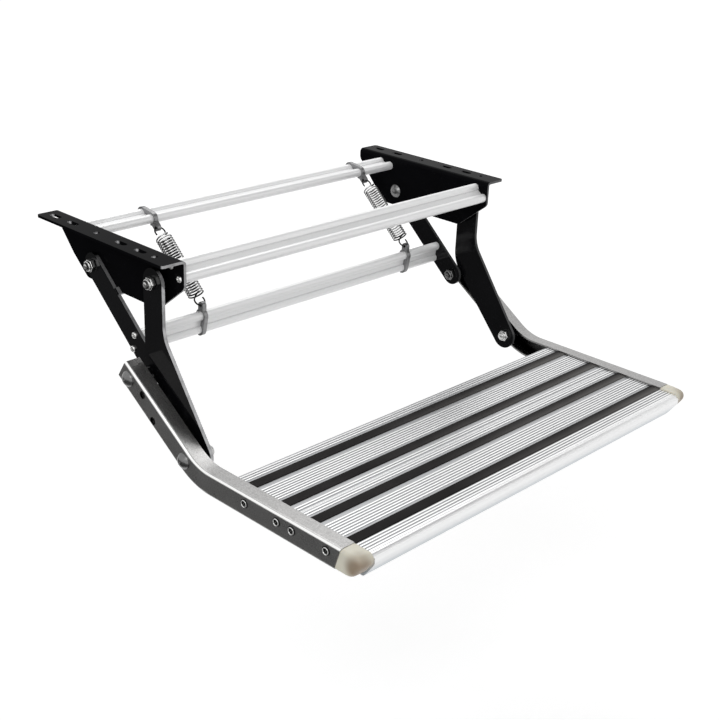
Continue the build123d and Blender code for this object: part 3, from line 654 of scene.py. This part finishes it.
def cap_plastic(node):
    """Ivory moulded plastic, browner in the middle of its front."""
    colours = bpy.context.scene.step_finishes
    low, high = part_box(node)
    across, back, up = CAP_SPOT
    spot_x = high.x - across if low.x > 0.0 else low.x + across
    finish, tree, shader, place = new_finish("plastic_" + node)
    skin = add_group(tree, mottle_group(), place, Cloud_Scale=45.0, Speck_Scale=1100.0)
    base = add_shades(tree, skin["Mottle"], colours.cap, dark=0.94, light=1.04)
    away = add_distance(tree, place, (spot_x, low.y + back, low.z + up))
    spot = add_step(tree, away, *CAP_SPOT_FADE)
    tree.links.new(mix_colour(tree, spot, base, colours.cap_middle), shader["Base Color"])
    add_rough(tree, skin["Mottle"], shader, low=0.34, high=0.5)
    shader["Subsurface Weight"].default_value = 0.15
    shader["Subsurface Radius"].default_value = (4.0 * MM, 3.0 * MM, 2.0 * MM)
    add_bump(tree, skin["Speck"], shader, strength=0.1, distance=0.3 * MM)
    return finish


def steel(name, colour, shades, rough, grain, bump):
    """Steel with a cloudy plate and a fine grain; gives its material, tree, shader and colour."""
    finish, tree, shader, place = new_finish(name)
    skin = add_group(tree, mottle_group(), place, Cloud_Scale=160.0, Speck_Scale=grain)
    base = add_shades(tree, skin["Mottle"], colour, *shades)
    tree.links.new(base, shader["Base Color"])
    add_rough(tree, skin["Mottle"], shader, *rough)
    shader["Metallic"].default_value = 1.0
    add_bump(tree, skin["Speck"], shader, strength=bump, distance=0.2 * MM)
    return finish, tree, shader, base


def plain_steel(name, colour, rough, grain):
    """Steel of one colour."""
    return steel(name, colour, (0.82, 1.15), rough, grain, bump=0.1)[0]


def darkened_steel(name, colour, dark, mask, span, rough, grain):
    """Steel with painted shade where a mask on the mesh runs over a span."""
    finish, tree, shader, base = steel(name, colour, (0.85, 1.12), rough, grain, bump=0.08)
    node = tree.nodes.new("ShaderNodeAttribute")
    node.attribute_name = mask
    share = add_range(tree, node.outputs["Fac"], 0.0, 1.0, *span)
    tree.links.new(mix_colour(tree, share, base, dark), shader["Base Color"])
    return finish


def set_finish(names, finish):
    """Gives CAD nodes a finish."""
    for name in names:
        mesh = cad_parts[name].data
        mesh.materials.clear()
        mesh.materials.append(finish)


def merged_node(name):
    """Copy of a CAD node's mesh with its doubles merged."""
    shape = bmesh.new()
    shape.from_mesh(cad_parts[name].data)
    bmesh.ops.remove_doubles(shape, verts=shape.verts, dist=1e-6)
    return shape


def solids_of(name):
    """Boxes of the separate solids in a CAD node, as pairs of corners."""
    shape = merged_node(name)
    left = set(shape.verts)
    boxes = []
    for start in shape.verts:
        if start not in left:
            continue
        left.remove(start)
        queue = [start]
        found = [start]
        while queue:
            for edge in queue.pop().link_edges:
                for vert in edge.verts:
                    if vert in left:
                        left.remove(vert)
                        queue.append(vert)
                        found.append(vert)
        low = Vector([min(vert.co[axis] for vert in found) for axis in range(3)])
        high = Vector([max(vert.co[axis] for vert in found) for axis in range(3)])
        if (high - low).length > SMALLEST_SOLID:
            boxes.append((low, high))
    shape.free()
    return boxes


def add_mesh(name, mesh, finish, body, crease=35.0):
    """Links a mesh as a piece that rides on a body."""
    mesh.shade_smooth()
    mesh.set_sharp_from_angle(angle=radians(crease))
    mesh.materials.clear()
    mesh.materials.append(finish)
    piece = bpy.data.objects.new(name, mesh)
    bpy.context.scene.collection.objects.link(piece)
    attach(piece, body)
    return piece


def evaluated_mesh(holder):
    """Mesh of an object with its modifiers or bevel; the object itself is removed."""
    bpy.context.scene.collection.objects.link(holder)
    bpy.context.view_layer.update()
    view = bpy.context.evaluated_depsgraph_get()
    mesh = bpy.data.meshes.new_from_object(holder.evaluated_get(view))
    bpy.data.objects.remove(holder)
    return mesh


def turned(shape, profile, steps):
    """Spins a profile of (along X, radius) pairs round X."""
    verts = [shape.verts.new((along, radius, 0.0)) for along, radius in profile]
    edges = [shape.edges.new(pair) for pair in zip(verts, verts[1:])]
    bmesh.ops.spin(
        shape,
        geom=verts + edges,
        cent=(0.0, 0.0, 0.0),
        axis=(1.0, 0.0, 0.0),
        angle=2.0 * pi,
        steps=steps,
        use_merge=True,
    )
    bmesh.ops.remove_doubles(shape, verts=shape.verts, dist=MERGE)


def radius_of(vert):
    """Distance of a vertex from the X axis."""
    return (vert.co.y**2 + vert.co.z**2) ** 0.5


def ring_edges(shape, along, radius):
    """Edges of the ring at a place along X and a radius."""
    near = 1e-6

    def on_ring(vert):
        return abs(vert.co.x - along) < near and abs(radius_of(vert) - radius) < near

    return [edge for edge in shape.edges if on_ring(edge.verts[0]) and on_ring(edge.verts[1])]


def pan_head(radius):
    """Pan head with a cross recess, seated on X = 0 and facing +X."""
    sizes = bpy.context.scene.fastener_sizes
    shape = bmesh.new()
    profile = [(along * HEAD_HEIGHT, share * radius) for along, share in PAN_PROFILE]
    turned(shape, profile, steps=32)
    half = sizes.slot / 2
    reach = sizes.recess / 2
    outline = []
    for quarter in range(4):
        turn = Matrix.Rotation(quarter * pi / 2, 4, "X")
        for corner in ((reach, -half), (reach, half), (half, half)):
            outline.append(shape.verts.new(turn @ Vector((HEAD_HEIGHT, *corner))))
    cross = [shape.edges.new(pair) for pair in zip(outline, outline[1:] + outline[:1])]
    bmesh.ops.triangle_fill(
        shape, use_beauty=True, use_dissolve=False, edges=ring_edges(shape, *profile[-1]) + cross
    )
    sunk = bmesh.ops.extrude_edge_only(shape, edges=cross)
    deep = [item for item in sunk["geom"] if isinstance(item, bmesh.types.BMVert)]
    bmesh.ops.translate(shape, verts=deep, vec=(-sizes.depth, 0.0, 0.0))
    bmesh.ops.scale(shape, verts=deep, vec=(1.0, 0.6, 0.6))
    floor = [item for item in sunk["geom"] if isinstance(item, bmesh.types.BMEdge)]
    floor = [edge for edge in floor if edge.verts[0] in deep and edge.verts[1] in deep]
    bmesh.ops.edgeloop_fill(shape, edges=floor)
    bmesh.ops.edgeloop_fill(shape, edges=ring_edges(shape, *profile[0]))
    return shape


def dished_head(radius):
    """Low round head with a rolled rim and a dish in it, seated on X = 0 and facing +X."""
    shape = bmesh.new()
    outline = DISHED_EDGE + DISHED_ROLL + DISHED_FLOOR
    profile = [(along * MM, share * radius) for along, share in outline]
    turned(shape, profile, steps=36)
    bmesh.ops.edgeloop_fill(shape, edges=ring_edges(shape, *profile[0]))
    # tone marks the parts left bright; the rest of the head gets painted shade.
    tone = shape.verts.layers.float.new("tone")
    low, high = DISHED_RIM
    for vert in shape.verts:
        share = radius_of(vert) / radius
        vert[tone] = 1.0 if low < share < high or share < DISHED_PIP else 0.0
    return shape


def lock_nut():
    """Hexagon nut with a locking collar and the end of its bolt, seated on X = 0 and facing +X."""
    sizes = bpy.context.scene.fastener_sizes
    corner = sizes.flats / 3.0**0.5
    body = NUT_HEIGHT - sizes.collar
    shape = bmesh.new()
    face = bmesh.ops.create_circle(shape, cap_ends=True, segments=6, radius=corner)
    bmesh.ops.rotate(shape, verts=face["verts"], matrix=Matrix.Rotation(pi / 2, 3, "Y"))
    raised = bmesh.ops.extrude_face_region(shape, geom=list(shape.faces))
    top = [item for item in raised["geom"] if isinstance(item, bmesh.types.BMVert)]
    bmesh.ops.translate(shape, verts=top, vec=(body, 0.0, 0.0))
    rims = [edge for edge in shape.edges if abs(edge.verts[0].co.x - edge.verts[1].co.x) < MERGE]
    bmesh.ops.bevel(
        shape,
        geom=rims,
        offset=0.06 * sizes.flats,
        offset_type="OFFSET",
        affect="EDGES",
        segments=3,
        profile=0.5,
        material=-1,
    )
    inner = sizes.thread / 2
    wide = 0.46 * sizes.flats
    collar = (
        (0.7 * body, wide),
        (body + 0.55 * sizes.collar, wide),
        (body + 0.85 * sizes.collar, 0.94 * wide),
        (NUT_HEIGHT, 0.84 * wide),
        (NUT_HEIGHT, inner + 0.5 * MM),
        (NUT_HEIGHT - 0.8 * MM, inner + 0.1 * MM),
        (NUT_HEIGHT - 1.6 * MM, inner - 0.1 * MM),
    )
    turned(shape, collar, steps=36)
    thread = [(NUT_HEIGHT - 1.6 * MM, inner - 0.6 * MM)]
    first = NUT_HEIGHT - 1.2 * MM
    turns = max(1, int(NUT_TIP / THREAD_PITCH))
    for index in range(turns):
        start = first + index * THREAD_PITCH
        thread.append((start, inner - 0.7 * MM))
        thread.append((start + 0.5 * MM, inner - 0.05 * MM))
        thread.append((start + 0.75 * MM, inner - 0.05 * MM))
    end = first + turns * THREAD_PITCH
    thread.append((end, inner - 0.8 * MM))
    thread.append((end + 0.5 * MM, inner - 1.6 * MM))
    thread.append((end + 0.5 * MM, 0.0))
    turned(shape, thread, steps=32)
    return shape


def seats(node, height, outward=True):
    """Radius, seat, centre and facing of each fastener in a CAD node."""
    for low, high in solids_of(node):
        facing = side_of(low) if outward else -side_of(low)
        outer = high.x if facing > 0.0 else low.x
        radius = (high.z - low.z) / 2
        centre = ((low.y + high.y) / 2, (low.z + high.z) / 2)
        yield radius, outer - facing * height, centre, facing


def placed(shape, seat, centre, facing):
    """Moves a fastener from the origin to its seat; facing is 1 or -1 along X."""
    if facing < 0.0:
        bmesh.ops.rotate(shape, verts=shape.verts, matrix=Matrix.Rotation(pi, 3, "Z"))
    bmesh.ops.translate(shape, verts=shape.verts, vec=(seat, *centre))
    return shape


def add_fasteners(name, node, shapes, finish, body):
    """Joins new fasteners to one piece that takes the place of a CAD node."""
    if not shapes:
        raise RuntimeError("no fasteners found in " + node)
    total = bmesh.new()
    for shape in shapes:
        part = bpy.data.meshes.new("part")
        shape.to_mesh(part)
        shape.free()
        total.from_mesh(part)
        bpy.data.meshes.remove(part)
    bmesh.ops.remove_doubles(total, verts=total.verts, dist=MERGE)
    bmesh.ops.recalc_face_normals(total, faces=total.faces)
    mesh = bpy.data.meshes.new(name)
    total.to_mesh(mesh)
    total.free()
    set_finish((node,), finish)
    piece = add_mesh(name, mesh, finish, body)
    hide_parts(node)


def wire_points(length):
    """Control points of a spring's wire: hook, turns, hook, along +Z from the upper hook."""
    sizes = bpy.context.scene.spring_sizes
    hook = sizes.hook / 2
    mean = (sizes.coil - sizes.wire) / 2
    coil = mean * 3.0 / (2.0 + cos(2.0 * pi / TURN_POINTS))
    curl = HOOK_SPREAD * hook
    half = []
    for degrees_round in HOOK_ANGLES:
        turn = radians(degrees_round)
        half.append((curl * sin(turn), 0.0, hook - curl * cos(turn)))
    for across, out, along in HOOK_NECK:
        half.append((across * hook, out * mean, along * hook))
    half.append((0.42 * hook, 0.9 * mean, sizes.lead - 0.25 * sizes.wire))
    count = sizes.turns * TURN_POINTS // 2
    pitch = (length - 2.0 * sizes.lead) / sizes.turns
    for index in range(count):
        turn = pi / 2 + 2.0 * pi * index / TURN_POINTS
        along = sizes.lead + pitch * index / TURN_POINTS
        half.append((coil * cos(turn), coil * sin(turn), along))
    other = [(-x, y, length - z) for x, y, z in reversed(half)]
    turn = pi / 2 + 2.0 * pi * count / TURN_POINTS
    middle = (coil * cos(turn), coil * sin(turn), length / 2)
    return half + [middle] + other


def wound_spring(name, across):
    """Wire of one spring as a mesh, between the two clips."""
    sizes = bpy.context.scene.spring_sizes
    upper = Vector((across, *UPPER_HOOK))
    lower = Vector((across, *LOWER_HOOK))
    line = (lower - upper).normalized()
    side = line.cross(Vector((1.0, 0.0, 0.0)))
    place = Matrix(((1.0, 0.0, 0.0), tuple(side), tuple(line))).transposed()
    curve = bpy.data.curves.new(name, "CURVE")
    curve.dimensions = "3D"
    curve.bevel_depth = sizes.wire / 2
    curve.bevel_resolution = 2
    curve.use_fill_caps = True
    curve.resolution_u = 3
    spline = curve.splines.new("NURBS")
    points = wire_points((lower - upper).length)
    spline.points.add(len(points) - 1)
    for point, local in zip(spline.points, points):
        point.co = (*(upper + place @ Vector(local)), 1.0)
    spline.order_u = 4
    spline.use_endpoint_u = True
    mesh = evaluated_mesh(bpy.data.objects.new(name, curve))
    bpy.data.curves.remove(curve)
    mesh.name = name
    # Mask for the painted shade inside the coil: 1 on the inner side of the wire.
    inside = mesh.attributes.new("inside", "FLOAT", "POINT")
    for vert, value in zip(mesh.vertices, inside.data):
        offset = vert.co - upper
        away = (offset - offset.dot(line) * line).length
        value.value = min(1.0, max(0.0, (sizes.coil / 2 - away) / sizes.wire))
    return mesh, upper, line


def melted(node):
    """Mesh of a cap with its edges melted round, most at the front, as a moulding's are."""
    shape = merged_node(node)
    rough = bpy.data.meshes.new("melted")
    shape.to_mesh(rough)
    shape.free()
    holder = bpy.data.objects.new("melted", rough)
    even = holder.modifiers.new("even", "REMESH")
    even.mode = "VOXEL"
    even.voxel_size = CAP_VOXEL
    melt = holder.modifiers.new("melt", "SMOOTH")
    melt.factor = 0.5
    melt.iterations = 12
    mesh = evaluated_mesh(holder)
    bpy.data.meshes.remove(rough)
    low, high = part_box(node)
    inner = min(abs(low.x), abs(high.x)) + CAP_SEAT
    shape = bmesh.new()
    shape.from_mesh(mesh)
    outside = [vert for vert in shape.verts if abs(vert.co.x) > inner]
    for index in range(CAP_MELT_ROUNDS):
        limit = low.y + CAP_MELT_REACH * (index + 1) / CAP_MELT_ROUNDS
        bmesh.ops.smooth_vert(
            shape,
            verts=[vert for vert in outside if vert.co.y < limit],
            factor=0.5,
            use_axis_x=True,
            use_axis_y=True,
            use_axis_z=True,
        )
    shape.to_mesh(mesh)
    shape.free()
    return mesh


class ENTRYSTEP_OT_black_pieces(bpy.types.Operator):
    """Coats the brackets and the arms"""

    bl_idname = "entry_step.black_pieces"
    bl_label = "Brackets and arms"

    def execute(self, context):
        for name, (edge, gloss) in BLACK_NODES.items():
            set_finish((name,), black_coat("black_coat_" + name, edge, gloss))
        return {"FINISHED"}


class ENTRYSTEP_OT_rails(bpy.types.Operator):
    """Finishes the bent rails"""

    bl_idname = "entry_step.rails"
    bl_label = "Rails"

    def execute(self, context):
        for name in RAIL_NODES:
            set_finish((name,), rail_metal(name))
        return {"FINISHED"}


class ENTRYSTEP_OT_tread(bpy.types.Operator):
    """Finishes the planks and their strips"""

    bl_idname = "entry_step.tread"
    bl_label = "Tread"

    def execute(self, context):
        for name in PLANK_NODES:
            set_finish((name,), plank_extrusion(name))
        for name in STRIP_NODES:
            set_finish((name,), strip_grit(name))
        return {"FINISHED"}


class ENTRYSTEP_OT_caps(bpy.types.Operator):
    """Moulds the end caps"""

    bl_idname = "entry_step.caps"
    bl_label = "End caps"

    def execute(self, context):
        for node in CAP_NODES:
            finish = cap_plastic(node)
            set_finish((node,), finish)
            piece = add_mesh("moulded_" + node, melted(node), finish, "step", 60.0)
            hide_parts(node)
        return {"FINISHED"}


class ENTRYSTEP_OT_bars(bpy.types.Operator):
    """Finishes the double-lobed bars"""

    bl_idname = "entry_step.bars"
    bl_label = "Bars"

    def execute(self, context):
        set_finish(BAR_NODES, bar_extrusion())
        return {"FINISHED"}


class ENTRYSTEP_OT_bolts(bpy.types.Operator):
    """Finishes the dome bolts and the spacers"""

    bl_idname = "entry_step.bolts"
    bl_label = "Bolts and spacers"

    def execute(self, context):
        colours = context.scene.step_finishes
        heads = plain_steel("head_steel", colours.head, rough=(0.2, 0.32), grain=1800.0)
        set_finish(BOLT_NODES, heads)
        set_finish(SPACER_NODES, black_coat("black_spacer", edge=0.0, gloss=0.2))
        return {"FINISHED"}


class ENTRYSTEP_OT_clips(bpy.types.Operator):
    """Finishes the spring clips"""

    bl_idname = "entry_step.clips"
    bl_label = "Spring clips"

    def execute(self, context):
        colours = context.scene.step_finishes
        plate = plain_steel("clip_plate", colours.clip, rough=(0.3, 0.5), grain=1200.0)
        set_finish(CLIP_NODES, plate)
        return {"FINISHED"}


class ENTRYSTEP_OT_springs(bpy.types.Operator):
    """Winds the two springs"""

    bl_idname = "entry_step.springs"
    bl_label = "Springs"

    def execute(self, context):
        colours = context.scene.step_finishes
        # Painted shade on the inside of the coil, by the wire's distance from the coil's axis.
        finish = darkened_steel(
            "spring_wire",
            colours.wire,
            colours.painted_shade,
            mask="inside",
            span=SHADE_DEPTH,
            rough=(0.2, 0.34),
            grain=2200.0,
        )
        set_finish(SPRING_NODES, finish)
        for node in SPRING_NODES:
            low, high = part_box(node)
            name = "wound_" + node
            mesh, upper, line = wound_spring(name, (low.x + high.x) / 2)
            piece = add_mesh(name, mesh, finish, "springs", 60.0)
            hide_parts(node)
            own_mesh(piece)
        return {"FINISHED"}


class ENTRYSTEP_OT_screws(bpy.types.Operator):
    """Makes the pan heads of the bars and the dished heads of the planks"""

    bl_idname = "entry_step.screws"
    bl_label = "Screws"

    def execute(self, context):
        colours = context.scene.step_finishes
        bright = plain_steel("screw_zinc", colours.zinc, rough=(0.22, 0.36), grain=1800.0)
        # Painted shade on the dished heads, outside the bright rim band and middle.
        dark = darkened_steel(
            "dished_screw",
            colours.zinc,
            colours.painted_shade,
            mask="tone",
            span=(1.0, 0.0),
            rough=(0.16, 0.3),
            grain=1800.0,
        )
        for node, body in SCREW_BODIES.items():
            dished = node == "plank_screws"
            heads = []
            for radius, *seat in seats(node, HEAD_HEIGHT):
                head = dished_head(DISHED_SHARE * radius) if dished else pan_head(radius)
                heads.append(placed(head, *seat))
            add_fasteners("heads_" + node, node, heads, dark if dished else bright, body)
        return {"FINISHED"}


class ENTRYSTEP_OT_lock_nuts(bpy.types.Operator):
    """Makes the lock nuts on the pivot bolts"""

    bl_idname = "entry_step.lock_nuts"
    bl_label = "Lock nuts"

    def execute(self, context):
        colours = context.scene.step_finishes
        skin = {"rough": (0.14, 0.26), "grain": 1600.0}
        bright = plain_steel("nut_zinc", shaded(colours.zinc, 0.75), **skin)
        dark = plain_steel("nut_dark", shaded(colours.head, 0.9), **skin)
        for node, body in NUT_BODIES.items():
            nuts = []
            for _, *seat in seats(node, NUT_HEIGHT, outward=node in OUTWARD_NUTS):
                nuts.append(placed(lock_nut(), *seat))
            finish = dark if node == "rail_rear_nuts" else bright
            add_fasteners("lock_" + node, node, nuts, finish, body)
        return {"FINISHED"}


def seen_rays(tree):
    """1 for the rays that show the surroundings: to the camera, off gloss and through glass."""
    path = tree.nodes.new("ShaderNodeLightPath").outputs
    rays = add_math(tree, "MAXIMUM", path["Is Camera Ray"], path["Is Glossy Ray"])
    return add_math(tree, "MAXIMUM", rays, path["Is Transmission Ray"])


def floor_finish():
    """Pale floor, white to the camera, that keeps a soft shadow."""
    finish, tree, surface = blank_material("pale_floor")
    paint = tree.nodes.new("ShaderNodeBsdfDiffuse")
    paint.inputs["Color"].default_value = (0.86, 0.86, 0.86, 1.0)
    glow = tree.nodes.new("ShaderNodeEmission")
    coords = tree.nodes.new("ShaderNodeTexCoord")
    away = add_distance(tree, coords.outputs["Object"], (0.0, 0.0, 0.0))
    level = add_range(tree, away, *FLOOR_GLOW, *FLOOR_GLOW_REACH)
    tree.links.new(add_math(tree, "MULTIPLY", seen_rays(tree), level), glow.inputs["Strength"])
    both = tree.nodes.new("ShaderNodeAddShader")
    tree.links.new(paint.outputs["BSDF"], both.inputs[0])
    tree.links.new(glow.outputs["Emission"], both.inputs[1])
    tree.links.new(both.outputs["Shader"], surface)
    return finish


def flag_finish(name, level):
    """Even grey of a flag, which only reflections see."""
    finish, tree, surface = blank_material(name)
    glow = tree.nodes.new("ShaderNodeEmission")
    glow.inputs["Strength"].default_value = level
    tree.links.new(glow.outputs["Emission"], surface)
    return finish


def add_sheet(name, centre, size, finish):
    """Level rectangle on the stage."""
    shape = bmesh.new()
    bmesh.ops.create_grid(shape, x_segments=1, y_segments=1, size=0.5)
    bmesh.ops.scale(shape, vec=(*size, 1.0), verts=shape.verts)
    bmesh.ops.translate(shape, vec=centre, verts=shape.verts)
    mesh = bpy.data.meshes.new(name)
    shape.to_mesh(mesh)
    shape.free()
    mesh.materials.append(finish)
    sheet = bpy.data.objects.new(name, mesh)
    bpy.context.scene.collection.objects.link(sheet)
    return sheet


def add_lamp(name, place, size, power):
    """Soft area lamp aimed at the step."""
    data = bpy.data.lights.new(name, "AREA")
    data.shape = "SQUARE"
    data.size = size
    data.energy = power
    lamp = bpy.data.objects.new(name, data)
    lamp.location = place
    lamp.rotation_euler = (Vector(LAMP_AIM) - Vector(place)).to_track_quat("-Z", "Y").to_euler()
    bpy.context.scene.collection.objects.link(lamp)


def studio_world(level):
    """Even light from all round, white where it is seen."""
    world = bpy.data.worlds.new("studio_world")
    world.use_nodes = True
    tree = world.node_tree
    tree.nodes.clear()
    out = tree.nodes.new("ShaderNodeOutputWorld")
    mix = tree.nodes.new("ShaderNodeMixShader")
    tree.links.new(seen_rays(tree), mix.inputs["Fac"])
    for index, strength in ((1, level), (2, 1.0)):
        sky = tree.nodes.new("ShaderNodeBackground")
        sky.inputs["Color"].default_value = (1.0, 1.0, 1.0, 1.0)
        sky.inputs["Strength"].default_value = strength
        tree.links.new(sky.outputs["Background"], mix.inputs[index])
    tree.links.new(mix.outputs["Shader"], out.inputs["Surface"])
    return world


def photo_camera():
    """Camera where the photograph was taken."""
    data = bpy.data.cameras.new("photo_view")
    data.sensor_width = SENSOR
    data.sensor_fit = "HORIZONTAL"
    data.lens = VIEW_FOCAL / IMAGE_SIDE * SENSOR
    data.clip_end = 100.0
    camera = bpy.data.objects.new("photo_view", data)
    camera.matrix_world = (
        Matrix.Translation(VIEW_EYE)
        @ Matrix.Rotation(VIEW_AZIMUTH, 4, "Z")
        @ Matrix.Rotation(pi / 2 - VIEW_ELEVATION, 4, "X")
        @ Matrix.Rotation(VIEW_ROLL, 4, "Z")
    )
    return camera


class ENTRYSTEP_OT_studio(bpy.types.Operator):
    """Sets the floor, the light and the camera"""

    bl_idname = "entry_step.studio"
    bl_label = "Studio"

    def execute(self, context):
        scene = context.scene
        sizes = scene.studio_sizes
        floor_size = (FLOOR_SIDE, FLOOR_SIDE)
        add_sheet("studio_floor", (0.0, 0.0, -sizes.floor), floor_size, floor_finish())
        flags = (
            ("low", 0.16, (-1.75, 0.9, 0.01 - sizes.floor), (2.6, 3.4)),
            ("high", 0.09, (1.0, -0.6, 1.25), (1.7, 1.4)),
        )
        for name, level, centre, size in flags:
            flag = add_sheet(name + "_flag", centre, size, flag_finish(name + "_grey", level))
            flag.visible_camera = False
            flag.visible_diffuse = False
            flag.visible_shadow = False
            flag.visible_transmission = False
        scene.world = studio_world(sizes.sky)
        add_lamp("key_lamp", place=(-1.6, -1.5, 1.5), size=1.6, power=sizes.key)
        add_lamp("fill_lamp", place=(0.9, 1.0, 2.2), size=1.8, power=sizes.fill)
        camera = photo_camera()
        scene.collection.objects.link(camera)
        scene.camera = camera
        scene.view_settings.view_transform = "Standard"
        return {"FINISHED"}


OPERATORS = (
    ENTRYSTEP_OT_black_pieces,
    ENTRYSTEP_OT_rails,
    ENTRYSTEP_OT_tread,
    ENTRYSTEP_OT_caps,
    ENTRYSTEP_OT_bars,
    ENTRYSTEP_OT_bolts,
    ENTRYSTEP_OT_clips,
    ENTRYSTEP_OT_springs,
    ENTRYSTEP_OT_screws,
    ENTRYSTEP_OT_lock_nuts,
    ENTRYSTEP_OT_studio,
)
SETTINGS = {
    "step_finishes": StepFinishes,
    "spring_sizes": SpringSizes,
    "fastener_sizes": FastenerSizes,
    "studio_sizes": StudioSizes,
}


class ENTRYSTEP_PT_panel(bpy.types.Panel):
    """Lists the pieces and the studio in the sidebar"""

    bl_idname = "ENTRYSTEP_PT_panel"
    bl_label = "Entry step"
    bl_space_type = "VIEW_3D"
    bl_region_type = "UI"
    bl_category = "Entry step"

    def draw(self, context):
        for operator in OPERATORS:
            self.layout.operator(operator.bl_idname)
        for name, group in SETTINGS.items():
            box = self.layout.box()
            settings = getattr(context.scene, name)
            for label in group.__annotations__:
                box.prop(settings, label)


def register():
    """Registers the settings, operators and panel."""
    for name, group in SETTINGS.items():
        bpy.utils.register_class(group)
        setattr(bpy.types.Scene, name, bpy.props.PointerProperty(type=group))
    for operator in OPERATORS:
        bpy.utils.register_class(operator)
    bpy.utils.register_class(ENTRYSTEP_PT_panel)


def unregister():
    """Takes the settings, operators and panel away."""
    bpy.utils.unregister_class(ENTRYSTEP_PT_panel)
    for operator in reversed(OPERATORS):
        bpy.utils.unregister_class(operator)
    for name, group in SETTINGS.items():
        delattr(bpy.types.Scene, name)
        bpy.utils.unregister_class(group)


def main():
    """Dresses the frame."""
    register()
    bpy.ops.entry_step.black_pieces()
    bpy.ops.entry_step.rails()
    bpy.ops.entry_step.tread()
    bpy.ops.entry_step.caps()
    bpy.ops.entry_step.bars()
    bpy.ops.entry_step.bolts()
    bpy.ops.entry_step.clips()
    bpy.ops.entry_step.springs()
    bpy.ops.entry_step.screws()
    bpy.ops.entry_step.lock_nuts()
    bpy.ops.entry_step.studio()


if __name__ == "__main__":
    main()
